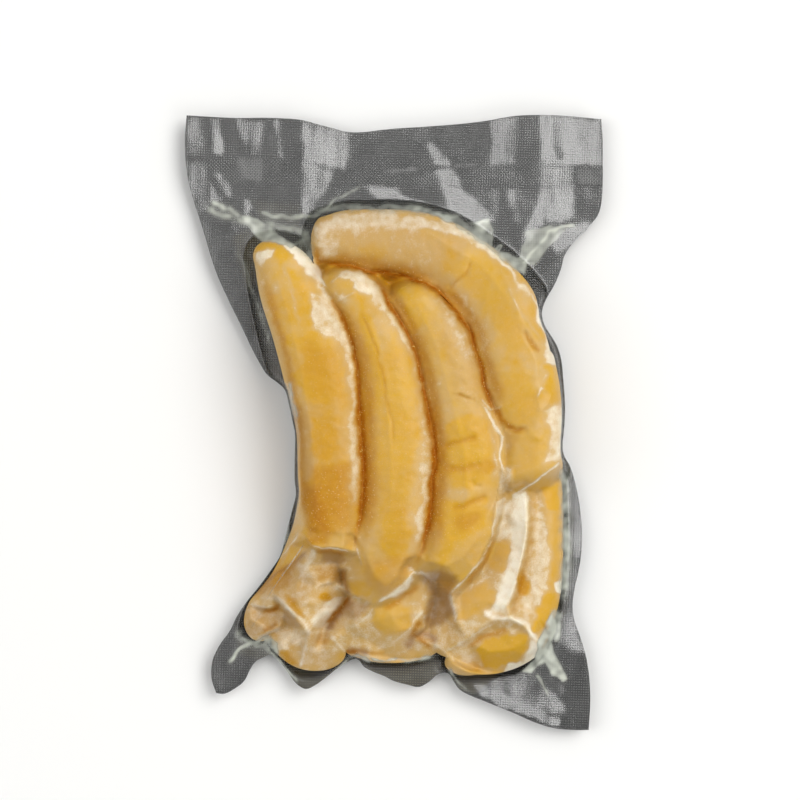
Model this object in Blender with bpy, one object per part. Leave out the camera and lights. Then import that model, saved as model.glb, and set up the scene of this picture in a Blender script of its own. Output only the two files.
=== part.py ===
"""Sealed vacuum pouch of peeled frozen bananas, lying on its dark back film.

Four bananas lie side by side on five lower ones. A dark embossed back film runs under them and a
clear front film is drawn down over them, and the two films meet in a flat margin all round.
Frame: origin under the middle of the pouch, +Y towards the sealed mouth, +Z up out of the clear film.
All sizes below are in millimetres.
"""

import bpy
import numpy as np

MM = 0.001

# Film and clearances
FILM = 0.6
FILM_WALL_MOST = 2.6
TOUCH = 0.35
NEIGHBOUR_GAP = 0.9

# Layers of bananas, as heights above the surface that the pouch lies on
LOWER_BOTTOM = FILM + TOUCH
LOWER_TOP = 24.0
UPPER_BOTTOM = LOWER_TOP + TOUCH
UPPER_TOP = 48.0
FLESH_ROUNDNESS = 2.3
SHELF_FLAT = 1.6

# Height of the plane where the two films meet, and how it waves
SEAM_HEIGHT = 9.0
SEAM_LOWEST = 1.6

# Outline of the pouch seen from above, as its four welded or cut edges
TOP_EDGE = [(-98.5, 146.0), (-86, 144), (-68.5, 143), (-49.5, 143), (-37.5, 141.5), (-28, 138.5),
            (-19.5, 137), (-4.5, 138), (12.5, 139.5), (31.5, 141), (42, 143), (50.5, 145), (60, 146),
            (79, 145.5), (99, 143)]
RIGHT_EDGE = [(99, 143), (99.3, 129.5), (98.5, 103.5), (93, 93.5), (85.5, 87.5), (81.5, 76), (78, 64.5),
              (73.5, 58), (73, 52.5), (76.5, 44.5), (80.5, 34), (82.5, 20), (83.5, 4), (83, -12),
              (85.5, -21.5), (88, -34.5), (89.5, -51), (88.5, -67.5), (86.5, -83.5), (89.5, -97),
              (92.5, -113), (93.5, -132), (92.5, -146)]
BOTTOM_EDGE = [(-84.5, -128.5), (-75, -128), (-67.5, -120.5), (-62, -113.5), (-56.5, -113.5), (-51, -119.5),
               (-45.5, -125), (-40, -126), (-34, -122), (-28, -117.5), (-21, -115.5), (-15, -118),
               (-9, -122), (0.5, -124.5), (11.5, -126), (20, -123.5), (27.5, -121), (32.5, -124.5),
               (39.5, -130.5), (50.5, -134.5), (62, -140.5), (71.5, -143.5), (81, -145.5), (92.5, -146)]
LEFT_EDGE = [(-84.5, -128.5), (-86, -122.5), (-86, -115), (-82.5, -105.5), (-75.5, -94), (-70.5, -82.5),
             (-64, -73), (-53.5, -58), (-51, -49), (-49.5, -39), (-47, -30), (-47.5, -18), (-48.5, -3.5),
             (-51, 11), (-55, 19), (-60, 23), (-65, 29), (-70.5, 41), (-77, 59), (-84.5, 78), (-91.5, 96),
             (-96, 108), (-98.5, 120), (-99.3, 134), (-98.5, 146)]

# Tilted panels of the margin: centre, half-size and slope of each, across and along the pouch
MARGIN_PANELS = [
    ((-87.0, 133.0), (7.0, 20.0), (-0.17, 0.0)),
    ((-70.0, 136.0), (8.5, 18.0), (0.19, 0.0)),
    ((-55.0, 137.0), (5.0, 16.0), (-0.19, 0.0)),
    ((-32.0, 133.0), (15.0, 20.0), (-0.21, 0.03)),
    ((20.0, 132.0), (9.0, 12.0), (0.18, -0.06)),
    ((50.0, 137.0), (9.0, 20.0), (0.20, 0.0)),
    ((80.0, 132.0), (19.0, 24.0), (-0.16, 0.04)),
    ((-94.0, 114.0), (8.0, 15.0), (0.12, 0.16)),
    ((88.0, 96.0), (12.0, 10.0), (-0.10, -0.18)),
    ((82.0, -124.0), (14.0, 12.0), (-0.10, -0.10)),
    ((62.0, -131.0), (14.0, 8.0), (0.02, -0.19)),
    ((-79.0, -114.0), (8.0, 10.0), (0.14, 0.12)),
]

# Bananas: left and right side from the stem end to the tip, the length of each rounded end, and how
# far an upper one sags where no lower one carries it, as share of its length and drop
UPPER_BANANAS = {
    "banana_upper_1": {
        "left": [(-64, 74.5), (-61, 58), (-55, 39.5), (-49.5, 18.5), (-45, -3.5), (-43.5, -24.5),
                 (-42, -41.5), (-40.5, -52.5)],
        "right": [(-38.5, 73), (-30, 58), (-23, 43.5), (-19, 27.5), (-17, 10.5), (-16, -8), (-16, -27),
                  (-17, -41.5), (-18, -52.5)],
        "ends": (9.5, 6.5),
        "sag": [(0, 10), (0.08, 8), (0.30, 0)]},
    "banana_upper_2": {
        "left": [(-27, 60.5), (-21.5, 45), (-17.5, 28), (-15.5, 10.5), (-14.5, -8), (-14.5, -27),
                 (-15.5, -41.5), (-17, -54.5), (-21, -69.5)],
        "right": [(-8, 64.5), (1.5, 51.5), (8, 37.5), (12, 23.5), (16, 7), (18, -8), (18.5, -18.5),
                  (17, -31.5), (15.5, -45.5), (13.5, -57), (11, -67)],
        "ends": (8.5, 17.0),
        "sag": [(0, 1.5), (0.2, 0), (0.85, 0), (1, 2)]},
    "banana_upper_3": {
        "left": [(3, 51.5), (9.5, 37.5), (13.5, 23.5), (17.2, 7), (19.5, -8), (20, -18.5), (18.5, -31.5),
                 (17, -45.5), (15, -57), (13.5, -65)],
        "right": [(20, 58), (28, 49.5), (34, 39.5), (37.5, 30.5), (40.5, 22.5), (44, 8.5), (46.5, -0.5),
                  (49, -8), (50, -21), (47, -41.5), (43.5, -57), (38, -68)],
        "ends": (8.0, 12.5),
        "sag": [(0, 0), (0.9, 0), (1, 1)]},
    "banana_upper_4": {
        "left": [(-33.5, 75), (-23, 73.5), (-11, 71), (2, 69), (12, 66), (21.5, 61.5), (29.5, 53),
                 (35.5, 42), (38.5, 32.5), (42, 24), (45, 10.5), (48, 1), (51, -8), (51.8, -21)],
        "right": [(-33.5, 95.5), (-23, 98.5), (-9, 99), (7.5, 98.5), (21.5, 95.5), (34.5, 89), (48.5, 79),
                  (58.5, 68.5), (65, 59.5), (68.5, 48.5), (71, 34), (73.5, 15), (77, -1), (78.5, -13.5)],
        "ends": (4.5, 12.5),
        "sag": [(0, 17), (0.40, 16), (0.64, 0)]},
}
LOWER_BANANAS = {
    "banana_lower_1": {
        "left": [(-43.5, 33), (-44, 10.5), (-42.5, -8.5), (-41.5, -27), (-44, -42.5), (-46.5, -54.5),
                 (-56, -71.5), (-64.5, -85)],
        "right": [(-22.5, 33), (-22, 10.5), (-22, -8.5), (-22.5, -27), (-26, -43.5), (-32.5, -59.5),
                  (-43, -74.5), (-53.5, -89.5)],
        "ends": (8.5, 11.5)},
    "banana_lower_2": {
        "left": [(-22.5, 52.5), (-22, 34.5), (-21, 10.5), (-20.5, -8.5), (-21.5, -27), (-24.5, -43.5),
                 (-31, -60.5), (-41.5, -76), (-51, -92.5)],
        "right": [(0, 52.5), (1, 34.5), (1, 10.5), (1, -8.5), (0, -27), (-2.5, -46), (-7.5, -63),
                  (-15, -79), (-22, -96)],
        "ends": (8.5, 21.0)},
    "banana_lower_3": {
        "left": [(1.5, 52.5), (2.5, 34.5), (2.5, 10.5), (2.5, -8.5), (1.5, -27), (-1, -46), (-6, -64),
                 (-13.5, -80.5), (-20.5, -97)],
        "right": [(24.5, 52.5), (25, 34.5), (25.5, 10.5), (26.5, -8.5), (27.5, -27), (27, -46),
                  (24.5, -64), (21, -80), (17.5, -96)],
        "ends": (8.5, 18.0)},
    "banana_lower_4": {
        "left": [(26.5, 27), (27, 10.5), (28, -8.5), (29, -27), (28.5, -46), (26, -64), (22, -80),
                 (19, -94.5)],
        "right": [(50, 25), (52, 10.5), (54.5, -8.5), (56.5, -22.5), (60, -36.5), (59.5, -55.5),
                  (56, -74.5), (48, -89.5)],
        "ends": (8.5, 9.5)},
    "banana_lower_5": {
        "left": [(52, 26), (53.5, 10.5), (56, -8.5), (58, -22.5), (61.5, -36.5),
                 (61, -55.5), (57.5, -74.5), (55.5, -84), (53, -91.5), (48.5, -98.5), (42.5, -104),
                 (35, -107)],
        "right": [(76, 30), (79, 17.5), (80, 4), (80, -10.5), (79.5, -25),
                  (79.5, -43.5), (79, -62.5), (77.5, -79), (74.5, -94.5), (69.5, -106.5), (59.5, -114),
                  (48.5, -117.5), (38, -118)],
        "ends": (7.5, 12.5)},
}

# Mesh densities
BODY_RINGS = 12
END_RINGS = 4
SIDES = 12
FINE_SAMPLES = 20
RASTER = 1.0
BRIDGE_REACH = 5
CLEAR_REACH = 2
FRONT_SLOPE = 1.9
BACK_SLOPE = 0.8
CLEARING_ROUNDS = 40
EVENING_ROUNDS = 4

# Colours of the plain materials: linear red, green and blue
FLESH_COLOUR = (0.70, 0.40, 0.075)
FRONT_COLOUR = (0.62, 0.60, 0.54)
BACK_COLOUR = (0.075, 0.078, 0.075)


def smooth_curve(points, count):
    """Evenly spaced points on a Catmull-Rom curve through the given ones."""
    p = np.array(points, float)
    p = np.vstack([2 * p[0] - p[1], p, 2 * p[-1] - p[-2]])
    t = np.linspace(0, 1, 16, endpoint=False)[:, None]
    a, b, c, d = p[:-3, None], p[1:-2, None], p[2:-1, None], p[3:, None]
    fine = 0.5 * (2 * b + (c - a) * t + (2 * a - 5 * b + 4 * c - d) * t**2 + (3 * b - a - 3 * c + d) * t**3)
    fine = np.vstack([fine.reshape(-1, 2), p[-2]])
    along = np.concatenate([[0], np.cumsum(np.linalg.norm(np.diff(fine, axis=0), axis=1))])
    at = np.linspace(0, along[-1], count) if np.isscalar(count) else np.asarray(count) * along[-1]
    return np.column_stack([np.interp(at, along, fine[:, k]) for k in (0, 1)])


def banana_rings(banana, low, high):
    """Rings of points along one banana: superellipses between its two sides, closed by domed ends."""
    left = smooth_curve(banana["left"], BODY_RINGS)
    right = smooth_curve(banana["right"], BODY_RINGS)
    centre, across = (left + right) / 2, (right - left) / 2
    half = np.linalg.norm(across, axis=1)
    across = across / half[:, None]
    half = half - NEIGHBOUR_GAP / 2
    turns = np.arange(1, END_RINGS + 1) * (np.pi / 2) / (END_RINGS + 0.35)
    plan = []
    for end, length, order in ((0, banana["ends"][0], -1), (-1, banana["ends"][1], 1)):
        outward = centre[end] - centre[1 if end == 0 else -2]
        outward = outward / np.linalg.norm(outward)
        plan.append([(centre[end] + outward * length * np.sin(a), across[end], half[end] * np.cos(a), np.cos(a))
                     for a in turns[::order]])
    body = [(centre[k], across[k], half[k], 1.0) for k in range(BODY_RINGS)]
    angles = (np.arange(SIDES) + 0.5) * 2 * np.pi / SIDES
    power = 2 / FLESH_ROUNDNESS
    side = np.sign(np.cos(angles)) * np.abs(np.cos(angles)) ** power
    rise = np.sign(np.sin(angles)) * np.abs(np.sin(angles)) ** power
    middle, height = (low + high) / 2, (high - low) / 2
    stations = plan[0] + body + plan[1]
    share = np.clip((np.arange(len(stations)) - END_RINGS) / (BODY_RINGS - 1), 0, 1)
    drop = eased(share, banana.get("sag", [(0, 0), (1, 0)]))
    rings = []
    for (at, direction, width, size), down in zip(stations, drop):
        flat = at + np.outer(side * width, direction)
        z = middle - down + rise * height * size
        rings.append(np.column_stack([flat, z]))
    return np.array(rings)


def eased(share, knots):
    """Value at each share of the length, easing in and out between the knots."""
    at, value = np.array(knots, float).T
    k = np.clip(np.searchsorted(at, share, side="right") - 1, 0, len(at) - 2)
    t = np.clip((share - at[k]) / (at[k + 1] - at[k]), 0, 1)
    return value[k] + (value[k + 1] - value[k]) * t * t * (3 - 2 * t)


def ring_faces(count, sides):
    """Quads between rings of points, with a cap at each end."""
    faces = [(r * sides + s, r * sides + (s + 1) % sides, (r + 1) * sides + (s + 1) % sides, (r + 1) * sides + s)
             for r in range(count - 1) for s in range(sides)]
    first = tuple(range(sides))[::-1]
    last = tuple((count - 1) * sides + s for s in range(sides))
    return faces + [first, last]


def raster_frame():
    """Cell centres of the plan raster, across and along the pouch."""
    return np.arange(-104, 104.1, RASTER), np.arange(-152, 152.1, RASTER)


def quad_weights():
    """Corner weights over a quad that is folded along one diagonal, then along the other."""
    t = np.linspace(0, 1, FINE_SAMPLES)
    a, b = [g.ravel() for g in np.meshgrid(t, t)]
    rising = np.column_stack([1 - np.maximum(a, b), np.maximum(a - b, 0), np.maximum(b - a, 0), np.minimum(a, b)])
    beyond = np.maximum(a + b - 1, 0)
    falling = np.column_stack([np.maximum(1 - a - b, 0), a - beyond, b - beyond, beyond])
    return rising, falling


def rasterise(rings, field, highest):
    """Highest or lowest point of the ringed surface in each cell of the plan raster."""
    across, along = raster_frame()
    closed = np.concatenate([rings, rings[:, :1]], axis=1)
    ends = np.stack([closed[[0, -1]].mean(axis=1, keepdims=True) * np.ones((1, closed.shape[1], 1))], 0)[0]
    closed = np.concatenate([ends[:1], closed, ends[1:]])
    corners = np.stack([closed[:-1, :-1], closed[1:, :-1], closed[:-1, 1:], closed[1:, 1:]], axis=2)
    for weights in quad_weights():
        fine = np.einsum("kc,rscd->rskd", weights, corners).reshape(-1, 3)
        i = np.clip(np.round((fine[:, 1] - along[0]) / RASTER).astype(int), 0, len(along) - 1)
        j = np.clip(np.round((fine[:, 0] - across[0]) / RASTER).astype(int), 0, len(across) - 1)
        (np.maximum if highest else np.minimum).at(field, (i, j), fine[:, 2])


def spread(field, reach, highest):
    """Greyscale dilation by a disc of that many cells, or erosion where highest is false."""
    best = field.copy()
    for di in range(-reach, reach + 1):
        for dj in range(-reach, reach + 1):
            if di * di + dj * dj <= reach * reach + 1:
                moved = np.roll(field, (di, dj), (0, 1))
                best = np.maximum(best, moved) if highest else np.minimum(best, moved)
    return best


def slope_limited(field, slope):
    """Lowest surface above the field that nowhere falls off faster than the slope."""
    best = field.copy()
    steps = [(di, dj) for di in (-2, -1, 0, 1, 2) for dj in (-2, -1, 0, 1, 2) if (di, dj) != (0, 0)]
    for _ in range(30):
        for di, dj in steps:
            best = np.maximum(best, np.roll(best, (di, dj), (0, 1)) - slope * RASTER * np.hypot(di, dj))
    return best


def sample(field, x, y):
    """Bilinear reading of the plan raster."""
    across, along = raster_frame()
    fi = np.clip((y - along[0]) / RASTER, 0, len(along) - 1.001)
    fj = np.clip((x - across[0]) / RASTER, 0, len(across) - 1.001)
    i, j = fi.astype(int), fj.astype(int)
    a, b = fi - i, fj - j
    return ((1 - a) * (1 - b) * field[i, j] + a * (1 - b) * field[i + 1, j]
            + (1 - a) * b * field[i, j + 1] + a * b * field[i + 1, j + 1])


def seam_height(x, y):
    """Height of the plane where the films meet: level, plus one smooth tilted bump for each panel."""
    z = np.full(np.shape(x), SEAM_HEIGHT, float)
    for (cx, cy), (rx, ry), (sx, sy) in MARGIN_PANELS:
        dx, dy = x - cx, y - cy
        z = z + (sx * dx + sy * dy) * np.exp(-((dx / rx) ** 2) - (dy / ry) ** 2)
    return np.maximum(z, SEAM_LOWEST)


def pouch_grid():
    """Plan positions of the films' grid: the four edges blended as a Coons patch."""
    near = np.array([0, 0.009, 0.022, 0.045, 0.075])
    u = np.concatenate([near, np.linspace(0.11, 0.89, 21), 1 - near[::-1]])
    v = np.concatenate([near[:4], np.linspace(0.065, 0.83, 30), np.linspace(0.86, 1, 7)])
    bottom, top = smooth_curve(BOTTOM_EDGE, u), smooth_curve(TOP_EDGE, u)
    left, right = smooth_curve(LEFT_EDGE, v), smooth_curve(RIGHT_EDGE, v_from_top(v))
    a, b = u[None, :, None], v[:, None, None]
    corners = ((1 - a) * (1 - b) * bottom[0] + a * (1 - b) * bottom[-1] + (1 - a) * b * top[0] + a * b * top[-1])
    return (1 - b) * bottom[None] + b * top[None] + (1 - a) * left[:, None] + a * right[:, None] - corners


def v_from_top(v):
    """The right edge is listed from the mouth down, so its share runs the other way."""
    return 1 - v


def triangle_samples():
    """Weights of the points inside a triangle where the clearance is tested."""
    steps = 9
    return np.array([(i, j, steps - i - j) for i in range(steps + 1) for j in range(steps + 1 - i)]) / steps


def grid_triangles(rows, columns):
    """The two triangles of each grid cell."""
    i, j = np.mgrid[0:rows - 1, 0:columns - 1]
    a, b = (i * columns + j).ravel(), (i * columns + j + 1).ravel()
    c, d = ((i + 1) * columns + j + 1).ravel(), ((i + 1) * columns + j).ravel()
    return np.concatenate([np.column_stack([a, b, c]), np.column_stack([a, c, d])])


def lift_clear(xy, z, obstacle, fixed, ceiling):
    """Raises the sheet's points, up to a ceiling, until every triangle passes over the obstacle raster."""
    rows, columns = z.shape
    triangles = grid_triangles(rows, columns)
    weights = triangle_samples()
    plan = xy.reshape(-1, 2)
    spots = np.einsum("kc,tcd->tkd", weights, plan[triangles])
    floor = sample(obstacle, spots[..., 0], spots[..., 1])
    height = np.minimum(z.ravel(), ceiling)
    free = ~fixed.ravel()
    for _ in range(CLEARING_ROUNDS):
        short = floor - np.einsum("kc,tc->tk", weights, height[triangles])
        if short.max() < 0.01:
            break
        push = np.maximum(short, 0)[..., None] * weights[None]
        rise = np.zeros_like(height)
        np.maximum.at(rise, triangles.ravel(), push.max(axis=1).ravel())
        height = np.minimum(height + rise * 1.3 * free, ceiling)
    return height.reshape(rows, columns)


def drape(xy, z, obstacle, fixed, ceiling):
    """Evens out a sheet while it keeps clear of the obstacle and under the ceiling."""
    z = lift_clear(xy, z, obstacle, fixed, ceiling)
    for _ in range(EVENING_ROUNDS):
        middle = (z[:-2, 1:-1] + z[2:, 1:-1] + z[1:-1, :-2] + z[1:-1, 2:]) / 4
        z[1:-1, 1:-1] = 0.4 * z[1:-1, 1:-1] + 0.6 * middle
        z = lift_clear(xy, z, obstacle, fixed, ceiling)
    return z


def steepness(xy, z):
    """Factor by which a sheet has to be thicker along Z to keep its wall on a slope."""
    dz_u, dz_v = np.gradient(z, axis=1), np.gradient(z, axis=0)
    du = np.linalg.norm(np.gradient(xy, axis=1), axis=2)
    dv = np.linalg.norm(np.gradient(xy, axis=0), axis=2)
    return np.sqrt(1 + (dz_u / du) ** 2 + (dz_v / dv) ** 2)


def make_object(name, points, faces, colour, roughness, alpha=1.0):
    """One named object with its own material."""
    mesh = bpy.data.meshes.new(name)
    mesh.from_pydata([tuple(p) for p in np.asarray(points) * MM], [], faces)
    mesh.update()
    mesh.shade_smooth()
    material = bpy.data.materials.new(name)
    material.use_nodes = True
    shader = material.node_tree.nodes["Principled BSDF"]
    shader.inputs["Base Color"].default_value = (*colour, 1)
    shader.inputs["Roughness"].default_value = roughness
    shader.inputs["Alpha"].default_value = alpha
    mesh.materials.append(material)
    obj = bpy.data.objects.new(name, mesh)
    bpy.context.scene.collection.objects.link(obj)
    return obj


def sheet_object(name, xy, under, over, colour, roughness, alpha=1.0):
    """A thin closed sheet between two heights over the same grid."""
    rows, columns = under.shape
    top = np.dstack([xy, over]).reshape(-1, 3)
    low = np.dstack([xy, under]).reshape(-1, 3)
    offset = len(top)
    upper = grid_triangles(rows, columns)
    faces = [tuple(f) for f in upper.tolist()] + [tuple(f[::-1]) for f in (upper + offset).tolist()]
    rim = ([(0, j) for j in range(columns)] + [(i, columns - 1) for i in range(1, rows)]
           + [(rows - 1, j) for j in range(columns - 2, -1, -1)] + [(i, 0) for i in range(rows - 2, 0, -1)])
    rim = [i * columns + j for i, j in rim]
    for a, b in zip(rim, rim[1:] + rim[:1]):
        faces += [(b, a, a + offset), (b, a + offset, b + offset)]
    return make_object(name, np.vstack([top, low]), faces, colour, roughness, alpha)


def clear_scene():
    """Removes whatever the scene starts with."""
    for obj in list(bpy.data.objects):
        bpy.data.objects.remove(obj, do_unlink=True)


def build_bananas():
    """Makes the nine bananas, and returns the rasters of their highest and lowest points."""
    across, along = raster_frame()
    tops = np.full((len(along), len(across)), -1e3)
    bottoms = np.full((len(along), len(across)), 1e3)
    layers = ((LOWER_BANANAS, LOWER_BOTTOM - SHELF_FLAT, LOWER_TOP), (UPPER_BANANAS, UPPER_BOTTOM, UPPER_TOP))
    for bananas, low, high in layers:
        for name, banana in bananas.items():
            rings = banana_rings(banana, low, high)
            rings[..., 2] = np.maximum(rings[..., 2], LOWER_BOTTOM)
            rasterise(rings, tops, True)
            rasterise(rings, bottoms, False)
            make_object(name, rings.reshape(-1, 3), ring_faces(len(rings), SIDES), FLESH_COLOUR, 0.45)
    return tops, bottoms


def build_films(tops, bottoms):
    """Drapes the front film over the bananas and lays the back film under them."""
    across, along = raster_frame()
    plan_x, plan_y = np.meshgrid(across, along)
    seam = seam_height(plan_x, plan_y)
    xy = pouch_grid()
    x, y = xy[..., 0], xy[..., 1]
    edge = np.ones(x.shape, bool)
    edge[1:-1, 1:-1] = False
    seam_here = seam_height(x, y)

    over = np.maximum(tops, seam)
    bridged = slope_limited(spread(spread(over, BRIDGE_REACH, True), BRIDGE_REACH, False), FRONT_SLOPE)
    start = np.where(edge, seam_here, np.maximum(sample(bridged, x, y), seam_here))
    obstacle = np.maximum(spread(tops, CLEAR_REACH, True), seam - TOUCH)
    front = drape(xy, start, obstacle + TOUCH / 2, edge, np.inf) + TOUCH / 2
    front_top = front + np.minimum(FILM * steepness(xy, front), FILM_WALL_MOST)

    under = np.minimum(bottoms, seam)
    bridged = -slope_limited(-spread(spread(under, BRIDGE_REACH, False), BRIDGE_REACH, True), BACK_SLOPE)
    start = np.where(edge, seam_here, np.minimum(sample(bridged, x, y), seam_here))
    obstacle = -np.minimum(spread(bottoms, CLEAR_REACH, False), seam + TOUCH)
    back = -drape(xy, -start, obstacle + TOUCH / 2, edge, -FILM - TOUCH / 2) - TOUCH / 2
    back_under = np.maximum(back - np.minimum(FILM * steepness(xy, back), FILM_WALL_MOST), 0.0)

    sheet_object("film_front", xy, front, front_top, FRONT_COLOUR, 0.15, 0.35)
    sheet_object("film_back", xy, back_under, back, BACK_COLOUR, 0.35)


def main():
    clear_scene()
    tops, bottoms = build_bananas()
    build_films(tops, bottoms)


main()
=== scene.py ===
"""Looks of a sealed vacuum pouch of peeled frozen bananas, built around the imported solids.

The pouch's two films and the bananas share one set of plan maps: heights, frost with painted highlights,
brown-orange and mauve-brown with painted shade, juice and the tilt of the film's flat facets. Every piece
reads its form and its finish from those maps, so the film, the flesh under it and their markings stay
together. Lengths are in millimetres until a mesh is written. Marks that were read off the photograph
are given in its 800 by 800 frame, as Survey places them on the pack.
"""

import logging
import math
from dataclasses import dataclass, field
from enum import Enum
from typing import Any, Sequence

import bpy
import numpy as np
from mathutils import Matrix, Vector
from mathutils.geometry import delaunay_2d_cdt


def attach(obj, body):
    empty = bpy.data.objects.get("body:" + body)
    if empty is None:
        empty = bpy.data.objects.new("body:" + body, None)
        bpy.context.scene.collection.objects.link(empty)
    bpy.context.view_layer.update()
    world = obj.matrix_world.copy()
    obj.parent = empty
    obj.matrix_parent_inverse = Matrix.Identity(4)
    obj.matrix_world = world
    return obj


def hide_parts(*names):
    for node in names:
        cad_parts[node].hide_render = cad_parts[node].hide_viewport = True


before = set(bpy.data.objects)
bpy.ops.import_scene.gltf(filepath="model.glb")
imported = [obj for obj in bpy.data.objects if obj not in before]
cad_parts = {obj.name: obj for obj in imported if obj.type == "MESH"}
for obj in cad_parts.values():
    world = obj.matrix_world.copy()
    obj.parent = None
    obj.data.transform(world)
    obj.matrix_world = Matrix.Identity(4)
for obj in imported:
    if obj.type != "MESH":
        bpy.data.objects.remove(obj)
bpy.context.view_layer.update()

LOG = logging.getLogger("pouch")
MM = 0.001
CURVE_RUNS = 16  # straight runs between two points of a curve
TINY = 1e-9  # keeps a division by a length from being one by zero
NOWHERE = 1e3  # level of a cell that a surface doesn't reach, above or below the pack
JUST_INSIDE = 1.001  # keeps a reading inside the last cell but one
BLURS_A_LUMP = 2.5  # noise blurred by a radius r has lumps about 2.5 r long
MARK_REACH = 3.2  # widths of a soft line after which next to nothing of it is left
LINE_TAPER = 0.16  # share of a line's length over which it thins out at each end
LINE_STUB = 0.03  # keeps the very end of a line from vanishing
SLIVER = 1e-6  # a facet smaller than this is left out, and its edges are this much wider
Array = np.ndarray
Line = Sequence[tuple[float, float]]


def linear(code: str) -> tuple[float, float, float, float]:
    """Turn an sRGB hex colour into linear red, green, blue and alpha.

    Args:
        code: The colour as six hex digits.

    Returns:
        Linear values, each channel c going to c/12.92 or ((c + 0.055)/1.055)^2.4.
    """
    parts = [int(code[k:k + 2], 16) / 255 for k in (0, 2, 4)]
    red, green, blue = [c / 12.92 if c <= 0.04045 else ((c + 0.055) / 1.055) ** 2.4 for c in parts]
    return red, green, blue, 1.0


def ease(low: float, high: float, value: Array) -> Array:
    """Smooth step from 0 at low to 1 at high: t^2 (3 - 2t)."""
    t = np.clip((value - low) / (high - low), 0, 1)
    return t * t * (3 - 2 * t)


def smooth_curve(points: Line, share: Array) -> Array:
    """Points at given shares of the length of a Catmull-Rom curve.

    Args:
        points: The curve's own points.
        share: Where to read it, from 0 at its start to 1 at its end.

    Returns:
        One row of x and y for each share. Between b and c the curve is
        (2b + (c-a)t + (2a-5b+4c-d)t^2 + (3b-a-3c+d)t^3) / 2.
    """
    p = np.array(points, float)
    p = np.vstack([2 * p[0] - p[1], p, 2 * p[-1] - p[-2]])
    t = np.linspace(0, 1, CURVE_RUNS, endpoint=False)[:, None]
    a, b, c, d = p[:-3, None], p[1:-2, None], p[2:-1, None], p[3:, None]
    fine = 0.5 * (2 * b + (c - a) * t + (2 * a - 5 * b + 4 * c - d) * t**2 + (3 * b - a - 3 * c + d) * t**3)
    fine = np.vstack([fine.reshape(-1, 2), p[-2]])
    along = np.concatenate([[0], np.cumsum(np.linalg.norm(np.diff(fine, axis=0), axis=1))])
    return np.column_stack([np.interp(share * along[-1], along, fine[:, k]) for k in (0, 1)])


def line_distance(points: Line, x: Array, y: Array) -> tuple[Array, Array]:
    """Distance from each place to a line of straight runs.

    Args:
        points: The line's points.
        x: Places across.
        y: Places along.

    Returns:
        The distance, and the share of the line's length at the nearest place on it.
    """
    p = np.array(points, float)
    runs = np.linalg.norm(np.diff(p, axis=0), axis=1)
    start = np.concatenate([[0], np.cumsum(runs)])
    best, share = np.full(x.shape, np.inf), np.zeros(x.shape)
    for k, run in enumerate(runs):
        step = (p[k + 1] - p[k]) / max(run * run, TINY)
        t = np.clip((x - p[k, 0]) * step[0] + (y - p[k, 1]) * step[1], 0, 1)
        away = np.hypot(x - p[k, 0] - t * (p[k + 1, 0] - p[k, 0]), y - p[k, 1] - t * (p[k + 1, 1] - p[k, 1]))
        near = away < best
        best = np.where(near, away, best)
        share = np.where(near, (start[k] + t * run) / start[-1], share)
    return best, share


def inside(points: Line, x: Array, y: Array) -> Array:
    """Tell which places are inside a closed line.

    Args:
        points: The line's points.
        x: Places across.
        y: Places along.

    Returns:
        True where a ray from the place crosses an odd number of sides.
    """
    p = np.array(points, float)
    crossed = np.zeros(x.shape, bool)
    for a, b in zip(p, np.roll(p, -1, axis=0)):
        if a[1] != b[1]:
            spans = (a[1] > y) != (b[1] > y)
            crossed ^= spans & (x < (b[0] - a[0]) * (y - a[1]) / (b[1] - a[1]) + a[0])
    return crossed


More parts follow.
